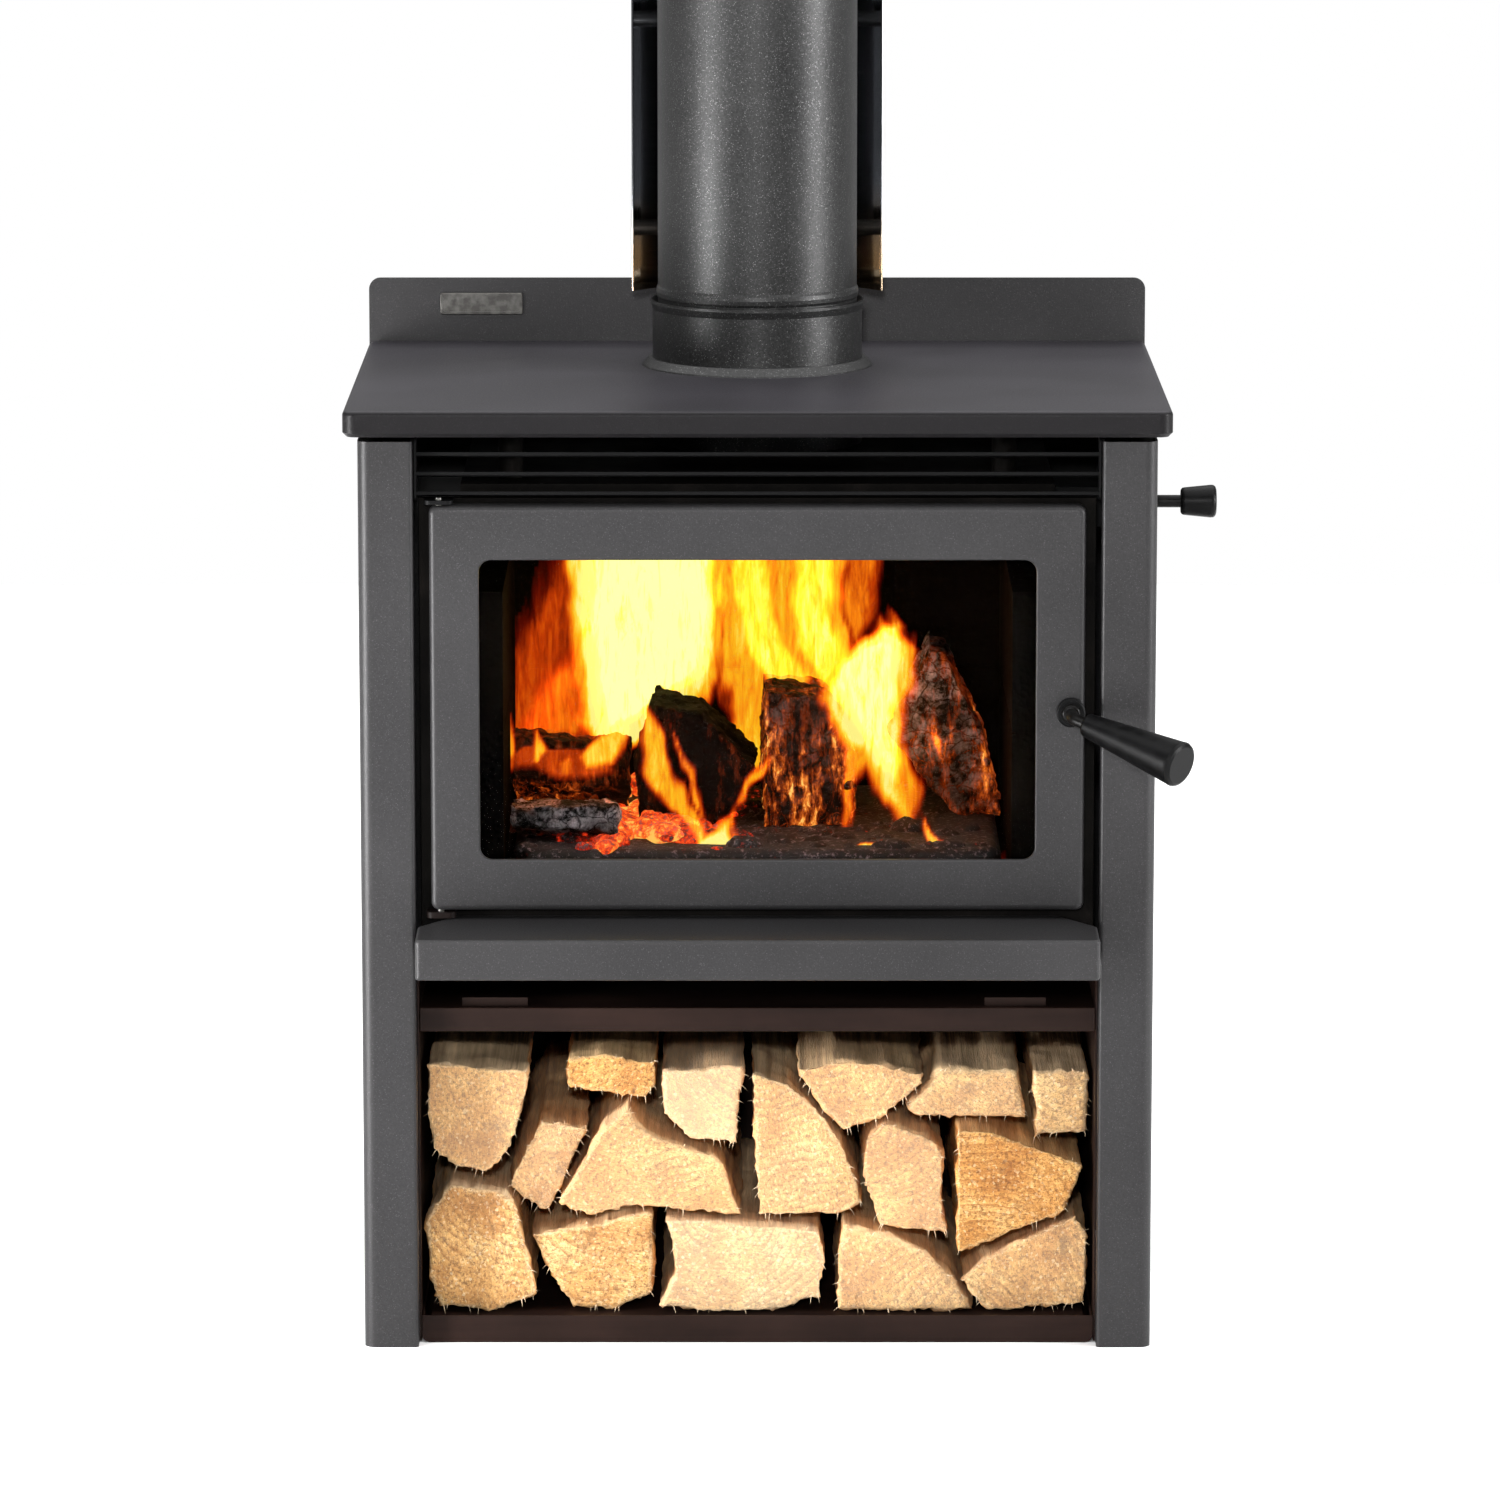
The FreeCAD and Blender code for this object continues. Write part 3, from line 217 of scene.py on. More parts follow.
def dark_sheet(name, dark, light, rough=0.5):
    """Thin dark sheet with a brushed look and a few smudges, browned by sawdust around the log store."""
    g = Graph(name)
    streak = g.noise(1.0, detail=4.0, place=g.scaled((6.0, 60.0, 90.0)))
    smudge = g.noise(11.0, detail=5.0, rough=0.6)
    tone = g.math("ADD", g.math("MULTIPLY", streak, 0.5), g.math("MULTIPLY", smudge, 0.5))
    browned = g.mix(g.spread(tone, 0.35, 0.65), dark, light)
    clean = g.mix(tone, (0.0012, 0.0012, 0.0013), (0.0030, 0.0030, 0.0032))
    height = g.split(g.place)[2]
    g.set(Base_Color=g.mix(g.spread(height, BROWN_BELOW, CLEAN_ABOVE), browned, clean))
    g.set(Metallic=0.0, Specular_IOR_Level=0.07)
    g.set(Roughness=g.spread(smudge, 0.3, 0.7, rough - 0.08, rough + 0.1))
    g.bump(g.noise(900.0, detail=2.0), 0.3, 0.0002)
    return g.material


def firebox_steel():
    """Plate steel around the fire, almost black: sooty, and darkened further as painted shade of the dark
    firebox.
    """
    g = Graph("firebox_steel")
    soot_and_shade = g.noise(14.0, detail=6.0, rough=0.65)
    scale = g.noise(160.0, detail=4.0)
    # Near-black tones: sooty steel and painted shade of the dark firebox.
    base = g.ramp(soot_and_shade, [
        (0.3, (0.001, 0.0008, 0.0008)), (0.55, (0.003, 0.0025, 0.002)), (0.75, (0.008, 0.006, 0.005)),
    ])
    base = g.mix(g.spread(scale, 0.55, 0.8, 0.0, 0.4), base, (0.010, 0.008, 0.007))
    g.set(Base_Color=base, Metallic=0.1, Specular_IOR_Level=0.05)
    g.set(Roughness=g.spread(soot_and_shade, 0.2, 0.8, 0.75, 0.5))
    g.bump(scale, 0.5, 0.0006)
    return g.material


def galvanised():
    """Zinc-coated sheet with crystal spangle, blackened on the face towards the fire."""
    g = Graph("galvanised_sheet")
    crystal = g.split(g.cells(70.0, output="Color"))[1]
    stain = g.noise(6.0, detail=4.0)
    base = g.mix(crystal, (0.30, 0.31, 0.32), (0.46, 0.47, 0.48))
    base = g.mix(g.spread(stain, 0.5, 0.75, 0.0, 0.5), base, (0.22, 0.215, 0.21))
    towards_fire = g.spread(g.split(g.normal("True Normal"))[1], -0.9, -0.5, 1.0, 0.0)
    base = g.mix(towards_fire, base, (0.006, 0.006, 0.006))
    g.set(Base_Color=base, Metallic=0.85, Roughness=g.spread(crystal, 0.0, 1.0, 0.32, 0.5))
    g.bump(crystal, 0.08, 0.0003)
    return g.material


TINT_FROM, TINT_TO = 0.78, 0.83  # heights between which the flue shield's heat tint fades


def mirror_steel():
    """Polished stainless shield with faint vertical brushing and a straw heat tint low down."""
    g = Graph("mirror_steel")
    brush = g.noise(1.0, detail=3.0, place=g.scaled((700.0, 700.0, 4.0)))
    height = g.split(g.place)[2]
    tint = g.spread(g.math("ADD", height, g.math("MULTIPLY", g.noise(16.0), 0.03)), TINT_FROM, TINT_TO)
    base = g.mix(tint, (0.55, 0.42, 0.28), (0.30, 0.31, 0.33))
    g.set(Base_Color=base, Metallic=1.0, Roughness=g.spread(brush, 0.3, 0.7, 0.05, 0.12))
    g.bump(brush, 0.05, 0.0001)
    return g.material


def fastener_steel():
    """Dark zinc-plated screws, pins and nuts."""
    g = Graph("fastener_steel")
    spot = g.noise(420.0, detail=3.0)
    g.set(Base_Color=g.mix(spot, (0.10, 0.097, 0.09), (0.24, 0.235, 0.22)), Metallic=0.95)
    g.set(Roughness=g.spread(spot, 0.3, 0.7, 0.28, 0.45))
    g.bump(spot, 0.15, 0.0002)
    return g.material


def badge_metal():
    """Blank cast badge: dark metal, rubbed lighter in places."""
    g = Graph("badge_metal")
    rub = g.noise(140.0, detail=4.0)
    g.set(Base_Color=g.mix(g.spread(rub, 0.4, 0.75), (0.045, 0.043, 0.040), (0.11, 0.107, 0.10)))
    g.set(Metallic=0.8, Roughness=g.spread(rub, 0.3, 0.7, 0.3, 0.5))
    g.bump(rub, 0.3, 0.0002)
    return g.material


def black_handle(name, color, rough, mottle=160.0):
    """Moulded or coated black parts that are held in the hand."""
    g = Graph(name)
    worn = g.noise(mottle, detail=4.0)
    lighter = tuple(channel * 1.8 + 0.002 for channel in color)
    g.set(Specular_IOR_Level=0.08)
    g.set(Base_Color=g.mix(g.spread(worn, 0.4, 0.8), color, lighter))
    g.set(Roughness=g.spread(worn, 0.3, 0.7, rough - 0.05, rough + 0.07))
    g.bump(g.noise(1400.0, detail=1.0), 0.25, 0.00015)
    return g.material


# ---------------------------------------------------------------- brick, glass and rope
def sooty_shaded_brick():
    """Vermiculite firebrick: flecked buff, almost wholly blackened: sooty, and darkened further as painted
    shade of the dark firebox.
    """
    g = Graph("firebrick")
    fleck = g.cells(230.0)
    soot_and_shade = g.noise(9.0, detail=5.0, rough=0.6)
    buff = g.ramp(fleck, [
        (0.0, (0.30, 0.19, 0.10)), (0.4, (0.42, 0.30, 0.17)), (0.9, (0.52, 0.40, 0.25)),
    ])
    # Painted shade: this mask turns nearly all of the brick almost black, darker than a sooty brick, for
    # the dark inside of the firebox.
    black = g.spread(soot_and_shade, 0.35, 0.6, 0.995, 1.0)
    g.set(Base_Color=g.mix(black, buff, (0.0010, 0.0008, 0.0007)), Roughness=0.95, Specular_IOR_Level=0.01)
    g.bump(g.math("ADD", fleck, g.noise(60.0)), 0.6, 0.0012)
    return g.material


def ceramic_glass():
    """Clear fire glass with a trace of ash haze towards its edges."""
    g = Graph("ceramic_glass")
    haze = g.noise(24.0, detail=5.0)
    g.set(Base_Color=g.mix(g.spread(haze, 0.4, 0.8), (0.99, 0.98, 0.96), (0.95, 0.93, 0.90)))
    g.set(Transmission_Weight=1.0, IOR=1.03, Roughness=0.0)
    return g.material


def braided_rope():
    """Glass-fibre rope: two crossing strand directions in off-white, greyed by ash."""
    g = Graph("seal_rope")
    one = g.wave(150.0, 1.0, direction="DIAGONAL")
    other = g.wave(150.0, 1.0, place=g.scaled((-1.0, 1.0, 1.0)), direction="DIAGONAL")
    weave = g.math("MAXIMUM", one, other)
    ash = g.noise(40.0, detail=4.0)
    strand = g.mix(weave, (0.18, 0.17, 0.15), (0.62, 0.60, 0.54))
    g.set(Base_Color=g.mix(g.spread(ash, 0.45, 0.75, 0.0, 0.7), strand, (0.12, 0.11, 0.10)))
    g.set(Roughness=0.95)
    g.bump(weave, 0.8, 0.0012)
    return g.material


# ---------------------------------------------------------------- wood and fire
def firewood_material():
    """Split pine: grain lines and stains on the ends, long fibres on the sides, tone by log."""
    g = Graph("firewood")
    grain = g.split(g.attribute("wood_place", "Vector"))
    tone = g.split(g.attribute("wood_tone", "Vector"))
    end = g.attribute("wood_end")
    rim = g.attribute("wood_rim")
    radius, along, around = grain[0], grain[1], grain[2]
    wobble = g.noise(11.0, detail=4.0)
    ring_at = g.math("ADD", g.math("MULTIPLY", radius, 150.0), g.math("MULTIPLY", wobble, 6.0))
    line = g.math("POWER", g.math("FRACT", ring_at), 2.5)
    faint = g.spread(g.noise(20.0, detail=3.0), 0.36, 0.56)
    fibre_place = g.add("ShaderNodeCombineXYZ")
    g.plug(fibre_place.inputs[0], radius)
    g.plug(fibre_place.inputs[1], g.math("MULTIPLY", along, 0.05))
    g.plug(fibre_place.inputs[2], around)
    fibre = g.noise(900.0, detail=4.0, rough=0.65, place=fibre_place.outputs[0])
    streak = g.noise(120.0, detail=4.0, rough=0.6, place=fibre_place.outputs[0])
    saw_place = g.scaled((230.0, 40.0, 900.0), place=g.attribute("wood_saw", "Vector"))
    saw = g.noise(1.0, detail=4.0, rough=0.65, place=saw_place)
    mottle = g.noise(24.0, detail=6.0, rough=0.62)
    patch = g.noise(13.0, detail=4.0, rough=0.6)
    coarse = g.noise(430.0, detail=5.0, rough=0.8)
    chip = g.cells(560.0, output="Color")

    pale = g.ramp(mottle, [
        (0.28, (0.34, 0.14, 0.035)), (0.42, (0.62, 0.33, 0.105)),
        (0.53, (0.80, 0.50, 0.20)), (0.70, (0.94, 0.72, 0.40)),
    ])
    cut = g.mix(g.spread(patch, 0.50, 0.68, 0.0, 0.65), pale, (0.52, 0.24, 0.075))
    cut = g.mix(g.math("MULTIPLY", g.math("MULTIPLY", line, faint), 0.85), cut, (0.36, 0.14, 0.035))
    cut = g.mix(g.spread(saw, 0.35, 0.6, 0.5, 0.0), cut, (0.38, 0.18, 0.06))
    cut = g.mix(g.spread(saw, 0.55, 0.75, 0.0, 0.5), cut, (1.0, 0.86, 0.60))
    cut = g.mix(g.spread(coarse, 0.38, 0.52, 0.9, 0.0), cut, (0.16, 0.065, 0.02))
    cut = g.mix(g.spread(g.split(chip)[0], 0.9, 1.0, 0.0, 0.35), cut, (1.0, 0.93, 0.75))
    cut = g.mix(g.spread(g.split(chip)[1], 0.9, 1.0, 0.0, 0.6), cut, (0.20, 0.085, 0.03))
    stain = g.spread(g.noise(34.0, detail=8.0, rough=0.8), 0.56, 0.65, 0.0, 0.75)
    cut = g.mix(stain, cut, (0.20, 0.10, 0.045))
    fray = g.math("MULTIPLY", rim, g.spread(coarse, 0.40, 0.62, 0.15, 1.0))
    cut = g.mix(fray, cut, (0.97, 0.86, 0.62))

    side = g.ramp(streak, [
        (0.28, (0.26, 0.10, 0.03)), (0.45, (0.62, 0.29, 0.09)),
        (0.6, (0.82, 0.46, 0.17)), (0.8, (0.92, 0.64, 0.34)),
    ])
    side = g.mix(g.spread(fibre, 0.35, 0.6, 0.5, 0.0), side, (0.14, 0.055, 0.018))
    # Upward faces are paler: partly grey weathering, partly painted light where the tops catch the light.
    weathered_and_top_light = g.mix(g.spread(streak, 0.3, 0.7), (0.30, 0.21, 0.14), (0.95, 0.82, 0.64))
    upward = g.spread(g.split(g.normal())[2], 0.2, 0.8)
    side = g.mix(g.math("MULTIPLY", tone[1], upward), side, weathered_and_top_light)

    wood = g.mix(end, side, cut)
    wood = g.mix(tone[0], wood, g.mix(1.0, wood, (0.97, 0.74, 0.44), "MULTIPLY"))
    wood = g.mix(tone[2], wood, (0.90, 0.80, 0.66))
    wood = g.mix(1.0, wood, (0.96, 0.96, 0.88), "MULTIPLY")
    g.set(Base_Color=wood, Roughness=0.85, Specular_IOR_Level=0.2)
    gritty = g.math("MULTIPLY", coarse, g.math("ADD", 0.3, end))
    height = g.math("ADD", g.math("MULTIPLY", fibre, 0.5), gritty)
    height = g.math("ADD", height, g.math("MULTIPLY", saw, 0.5))
    g.bump(height, 1.0, 0.0013)
    return g.material


def char_material():
    """Charred log: black crazed blocks, pale ash where the mesh says, embers in cracks and patches."""
    g = Graph("charred_wood")
    glow = g.attribute("char_glow")
    ash = g.attribute("char_ash")
    bent = g.add("ShaderNodeVectorMath", operation="ADD")
    g.plug(bent.inputs[0], g.place)
    shift = g.add("ShaderNodeTexNoise")
    g.plug(shift.inputs["Vector"], g.place)
    shift.inputs["Scale"].default_value = 45.0
    small = g.add("ShaderNodeVectorMath", operation="SCALE")
    g.plug(small.inputs[0], shift.outputs["Color"])
    small.inputs["Scale"].default_value = 0.022
    g.plug(bent.inputs[1], small.outputs[0])
    blocks = g.scaled((52.0, 52.0, 88.0), place=bent.outputs[0])
    edge = g.cells(1.0, feature="DISTANCE_TO_EDGE", place=blocks)
    fine = g.noise(320.0, detail=5.0, rough=0.75)
    flake = g.noise(1.0, detail=5.0, rough=0.7, place=g.scaled((190.0, 190.0, 45.0)))
    crack = g.spread(g.math("ADD", edge, g.math("MULTIPLY", fine, 0.05)), 0.02, 0.075, 1.0, 0.0)
    coal = g.ramp(flake, [
        (0.3, (0.001, 0.001, 0.001)), (0.6, (0.004, 0.003, 0.003)), (0.8, (0.016, 0.012, 0.011)),
    ])
    dusty = g.math("MULTIPLY", ash, g.spread(g.noise(90.0, detail=6.0, rough=0.75), 0.42, 0.62), clamp=True)
    base = g.mix(dusty, coal, (0.46, 0.42, 0.45))
    base = g.mix(g.math("MULTIPLY", crack, 0.95), base, (0.001, 0.001, 0.001))
    upright = g.scaled((75.0, 75.0, 20.0))
    patch = g.spread(g.noise(1.0, detail=6.0, rough=0.72, place=upright, distort=0.6), 0.42, 0.60)
    lit_crack = g.math("MULTIPLY", g.math("MULTIPLY", crack, 0.8), g.spread(g.noise(22.0), 0.4, 0.6))
    ember = g.math("MULTIPLY", glow, g.math("MAXIMUM", lit_crack, patch))
    hot = g.math("MULTIPLY", ember, g.spread(flake, 0.35, 0.68, 0.0, 1.35), clamp=True)
    light = g.ramp(hot, [
        (0.06, (0.0, 0.0, 0.0)), (0.3, (0.14, 0.014, 0.001)), (0.55, (0.50, 0.085, 0.008)),
        (0.8, (0.95, 0.28, 0.03)), (1.0, (1.0, 0.66, 0.16)),
    ])
    g.set(Base_Color=base, Roughness=0.9, Specular_IOR_Level=0.15)
    g.set(Emission_Color=light, Emission_Strength=1.0)
    g.bump(g.math("SUBTRACT", g.math("ADD", fine, flake), crack), 1.0, 0.002)
    return g.material


def ember_material():
    """Bed of coals: yellow-hot seams, red bodies, black and ash-white crusts."""
    g = Graph("embers")
    heat = g.attribute("coal_heat")
    body = g.noise(70.0, detail=5.0, rough=0.65)
    crust = g.noise(240.0, detail=4.0, rough=0.7)
    hot = g.math("ADD", heat, g.math("MULTIPLY", body, 1.3))
    hot = g.math("SUBTRACT", hot, g.math("MULTIPLY", crust, 1.9), clamp=True)
    light = g.ramp(hot, [
        (0.08, (0.0, 0.0, 0.0)), (0.3, (0.25, 0.008, 0.002)), (0.5, (0.9, 0.045, 0.006)),
        (0.72, (1.0, 0.17, 0.015)), (0.92, (1.0, 0.55, 0.10)),
    ])
    ash = g.spread(crust, 0.55, 0.72)
    g.set(Base_Color=g.mix(ash, (0.006, 0.004, 0.004), (0.20, 0.15, 0.16)), Roughness=0.95)
    g.set(Emission_Color=light, Emission_Strength=1.0)
    g.bump(crust, 0.7, 0.0015)
    return g.material


def flame_material():
    """Flame sheet: its light follows the mesh's heat, in fine streaks, and adds to what is behind it."""
    g = Graph("flame")
    heat = g.attribute("flame_heat")
    streak = g.noise(1.0, detail=4.0, rough=0.6, place=g.scaled((95.0, 60.0, 17.0)), distort=1.4)
    thread = g.noise(1.0, detail=3.0, rough=0.6, place=g.scaled((260.0, 120.0, 38.0)), distort=1.0)
    lively = g.spread(heat, 0.25, 1.0, 0.3, 1.15)
    waver = g.math("ADD", g.math("MULTIPLY", streak, 0.9), g.math("MULTIPLY", thread, 0.5))
    level = g.math("ADD", heat, g.math("MULTIPLY", g.math("SUBTRACT", waver, 0.7), lively), clamp=True)
    color = g.ramp(level, [
        (0.0, (0.10, 0.001, 0.0)), (0.2, (0.36, 0.010, 0.0005)), (0.36, (0.85, 0.07, 0.002)),
        (0.54, (0.95, 0.22, 0.005)), (0.74, (1.0, 0.50, 0.012)),
        (0.9, (1.0, 0.78, 0.08)), (1.0, (1.0, 0.90, 0.24)),
    ])
    g.set(Base_Color=(0.0, 0.0, 0.0, 1.0), Roughness=1.0, Specular_IOR_Level=0.0)
    g.set(Emission_Color=color, Emission_Strength=g.spread(level, 0.08, 0.55))
    clear = g.add("ShaderNodeBsdfTransparent")
    both = g.add("ShaderNodeAddShader")
    g.plug(both.inputs[0], g.shader.outputs["BSDF"])
    g.plug(both.inputs[1], clear.outputs["BSDF"])
    g.plug(g.output.inputs["Surface"], both.outputs["Shader"])
    return g.material


def floor_material():
    """Almost white, with hardly seen clouds."""
    g = Graph("floor")
    cloud = g.noise(0.6, detail=3.0)
    g.set(Base_Color=g.mix(cloud, (0.90, 0.90, 0.90), (0.93, 0.93, 0.93)), Roughness=0.9)
    return g.material


MATERIALS = {
    "charcoal_paint": satin_paint(
        "charcoal_paint", (0.0175, 0.017, 0.0175), (0.028, 0.0273, 0.0283), sparkle=0.35, gloss=0.18
    ),
    "cooktop_paint": satin_paint(
        "cooktop_paint", (0.0035, 0.0031, 0.0035), (0.0058, 0.0052, 0.0059),
        # The last colour is painted light: the lighter tone of the cooktop's upward faces.
        metallic=0.1, sparkle=0.6, gloss=0.12, painted_top_light=(0.024, 0.0225, 0.0265),
    ),
    "flue_paint": satin_paint(
        "flue_paint", (0.015, 0.015, 0.015), (0.040, 0.040, 0.040),
        rough=0.39, metallic=0.7, sparkle=1.0, grain_mm=1.6,
    ),
    "black_sheet": dark_sheet("black_sheet", (0.007, 0.0035, 0.0026), (0.016, 0.008, 0.006)),
    "firebox_steel": firebox_steel(),
    "galvanised_sheet": galvanised(),
    "mirror_steel": mirror_steel(),
    "fasteners": fastener_steel(),
    "badge_metal": badge_metal(),
    "firebrick": sooty_shaded_brick(),
    "ceramic_glass": ceramic_glass(),
    "seal_rope": braided_rope(),
    "handle_metal": black_handle("handle_metal", (0.0028, 0.0026, 0.0025), rough=0.34),
    "handle_black": black_handle("handle_black", (0.0012, 0.0012, 0.0013), rough=0.4, mottle=90.0),
    "firewood": firewood_material(),
    "charred_wood": char_material(),
    "embers": ember_material(),
}


def paint_frame():
    """Gives every CAD node the material of its slot in the record."""
    for entry in frame["record"]["subparts"]:
        mesh = frame["nodes"][entry["node"]].data
        mesh.materials.clear()
        mesh.materials.append(MATERIALS[entry["material_slot"]])


# ---------------------------------------------------------------- mesh helpers
WELD_DISTANCE = 1e-6


def new_object(name, mesh, material):
    """Puts a mesh into the scene as one piece with one material."""
    piece = bpy.data.objects.new(name, mesh)
    bpy.context.scene.collection.objects.link(piece)
    mesh.materials.clear()
    mesh.materials.append(material)
    return piece


def mesh_from(build, name):
    """Turns a bmesh that is ready into a mesh."""
    mesh = bpy.data.meshes.new(name)
    build.to_mesh(mesh)
    build.free()
    return mesh


def smooth(mesh):
    for face in mesh.polygons:
        face.use_smooth = True


def store(mesh, name, kind, values):
    """Writes one value per vertex to a named attribute."""
    attribute = mesh.attributes.new(name, kind, "POINT")
    field = "vector" if kind == "FLOAT_VECTOR" else "value"
    flat = [part for value in values for part in value] if kind == "FLOAT_VECTOR" else values
    attribute.data.foreach_set(field, flat)


def loose_parts(node):
    """The separate solids of a CAD node, each as its own mesh, from left to right."""
    source = bmesh.new()
    source.from_mesh(frame["nodes"][node].data)
    bmesh.ops.remove_doubles(source, verts=source.verts, dist=WELD_DISTANCE)
    left = set(source.verts)
    groups = []
    while left:
        stack = [left.pop()]
        group = set(stack)
        while stack:
            for edge in stack.pop().link_edges:
                for vert in edge.verts:
                    if vert not in group:
                        group.add(vert)
                        stack.append(vert)
        left -= group
        groups.append(group)
    meshes = []
    for group in sorted(groups, key=lambda part: min((v.co.x, v.co.z) for v in part)):
        part = source.copy()
        part.verts.ensure_lookup_table()
        keep = {vert.index for vert in group}
        bmesh.ops.delete(part, geom=[v for v in part.verts if v.index not in keep], context="VERTS")
        meshes.append(mesh_from(part, node))
    source.free()
    return meshes


def remeshed(mesh, voxel):
    """The closed mesh rebuilt from even small faces."""
    holder = bpy.data.objects.new("remesh", mesh)
    bpy.context.scene.collection.objects.link(holder)
    modifier = holder.modifiers.new("remesh", "REMESH")
    modifier.mode = "VOXEL"
    modifier.voxel_size = voxel
    bpy.context.view_layer.update()
    done = bpy.data.meshes.new_from_object(holder.evaluated_get(bpy.context.evaluated_depsgraph_get()))
    bpy.data.objects.remove(holder)
    return done


def relief(point, scale, height, octaves=3):
    """Smooth noise about 0: the scale is in bumps to the metre, the height is its rough limit."""
    return noise.fractal(Vector(point) * scale, 1.0, 2.0, octaves) * height


def random_shift(dice):
    """Moves the noise to another place, so that no two logs look alike."""
    return Vector((dice.uniform(0, 50), dice.uniform(0, 50), dice.uniform(0, 50)))


def clamped(value):
    return max(0.0, min(1.0, value))


# ---------------------------------------------------------------- firewood
FIREWOOD_NODES = 8
WOOD_VOXEL = 0.0038
WOOD_SHRINK = 0.0012  # makes room for the roughness within the plain log
END_FROM, END_BLEND = 0.55, 0.3  # part of the normal along the log where an end face starts, and its blend
GRAIN_STRETCH = 0.06  # how fast ridges change along the log, against across it
AROUND_SCALE = 0.09  # texture metres to a radian around the pith
# (bumps to the metre, height) of the wood's relief
WIDE_RIDGES, NARROW_RIDGES = (70.0, 0.0016), (230.0, 0.0007)
LUMPS = (22.0, 0.0022)
FINE_SAWING, COARSE_SAWING = (160.0, 0.0008), (45.0, 0.0012)
TORN_RIM = (260.0, 0.0022)

FIBRES_PER_LOG = 26
FIBRE_RINGS = 4
FIBRE_LENGTHS, FIBRE_HALF_WIDTHS = (0.002, 0.006), (0.0002, 0.0005)
FIBRE_ROOT = 0.001  # depth in the log where a fibre starts
FIBRE_DROOP = 0.002
FRONT_REACH = 0.006  # how far behind the front end fibres still stand
FIBRE_END, FIBRE_PLACE, FIBRE_TONE = 0.7, (0.01, 0.0, 0.0), (0.2, 0.0, 0.55)


def shape_log(mesh, seed):
    """Roughens a log, with split ridges and lumps on its sides and saw marks and a torn rim on its ends."""
    dice = random.Random(seed)
    shift = random_shift(dice)
    corners = [v.co.copy() for v in mesh.vertices]
    low = Vector([min(c[i] for c in corners) for i in range(3)])
    high = Vector([max(c[i] for c in corners) for i in range(3)])
    middle = (low + high) / 2
    size = high - low
    pith_x = middle.x + dice.uniform(-0.6, 0.6) * size.x
    pith_z = middle.z + dice.choice((-1, 1)) * size.z * dice.uniform(0.5, 0.9)
    pith = Vector((pith_x, 0, pith_z))
    normals = [v.normal.copy() for v in mesh.vertices]
    turn = dice.uniform(0, math.pi)
    places, ends, rims, saws = [], [], [], []
    for vert, direction in zip(mesh.vertices, normals):
        co = vert.co.copy()
        facing = abs(direction.y)
        end = min(1.0, max(0.0, (facing - END_FROM) / END_BLEND))
        long_grain = Vector((co.x, co.y * GRAIN_STRETCH, co.z)) + shift
        ridge = relief(long_grain, *WIDE_RIDGES) + relief(long_grain, *NARROW_RIDGES, 2)
        lump = relief(co + shift, *LUMPS)
        saw = relief(co + shift, *FINE_SAWING) + relief(co + shift, *COARSE_SAWING)
        torn = relief(co + shift, *TORN_RIM, 2) if 0.05 < facing < 0.93 else 0.0
        push = (1 - end) * (ridge + lump) + end * saw + torn - WOOD_SHRINK
        vert.co = co + direction * push
        flat = Vector((co.x - pith.x, 0, co.z - pith.z))
        places.append((flat.length, co.y + shift.y, math.atan2(flat.z, flat.x) * AROUND_SCALE))
        saw_x = co.x * math.cos(turn) + co.z * math.sin(turn)
        saw_z = co.z * math.cos(turn) - co.x * math.sin(turn)
        saws.append((saw_x, co.y + shift.y, saw_z))
        ends.append(end)
        rims.append(max(0.0, 1.0 - abs(facing - 0.72) / 0.26))
    tint = (dice.uniform(0.0, 0.9), dice.uniform(0.25, 0.85), dice.uniform(0.0, 0.3))
    store(mesh, "wood_place", "FLOAT_VECTOR", places)
    store(mesh, "wood_end", "FLOAT", ends)
    store(mesh, "wood_rim", "FLOAT", rims)
    store(mesh, "wood_saw", "FLOAT_VECTOR", saws)
    store(mesh, "wood_tone", "FLOAT_VECTOR", [tint] * len(places))
    smooth(mesh)


def splinters(mesh, seed, count):
    """Torn fibres that stand out of the rim of a log's front end, as thin curved spikes in one mesh."""
    dice = random.Random(seed)
    front = min(v.co.y for v in mesh.vertices)
    rim = [v for v in mesh.vertices if v.co.y < front + FRONT_REACH and 0.25 < -v.normal.y < 0.9]
    build = bmesh.new()
    layer_end = build.verts.layers.float.new("wood_end")
    layer_place = build.verts.layers.float_vector.new("wood_place")
    layer_tone = build.verts.layers.float_vector.new("wood_tone")
    for vert in dice.sample(rim, min(count, len(rim))):
        outward = Vector((vert.normal.x, 0, vert.normal.z)).normalized()
        lean = Vector((dice.uniform(-0.7, 0.7), dice.uniform(-0.5, 0.25), dice.uniform(-0.7, 0.4)))
        heading = (outward + lean).normalized()
        across = heading.cross(Vector((0, 1, 0))).normalized()
        length = dice.uniform(*FIBRE_LENGTHS)
        width = dice.uniform(*FIBRE_HALF_WIDTHS)
        rings = []
        for step in range(FIBRE_RINGS):
            along = step / (FIBRE_RINGS - 1)
            droop = Vector((0, 0, -FIBRE_DROOP)) * along * along
            centre = vert.co - outward * FIBRE_ROOT + heading * length * along + droop
            half = width * (1.05 - along)
            offsets = (across * half, across * -half, Vector((0, -half, 0)))
            ring = [build.verts.new(centre + offset) for offset in offsets]
            for corner in ring:
                corner[layer_end] = FIBRE_END
                corner[layer_place] = FIBRE_PLACE
                corner[layer_tone] = FIBRE_TONE
            rings.append(ring)
        for a, b in zip(rings, rings[1:]):
            for i in range(3):
                build.faces.new((a[i], a[(i + 1) % 3], b[(i + 1) % 3], b[i]))
        build.faces.new(rings[0][::-1])
        build.faces.new(rings[-1])
    return mesh_from(build, "splinters")


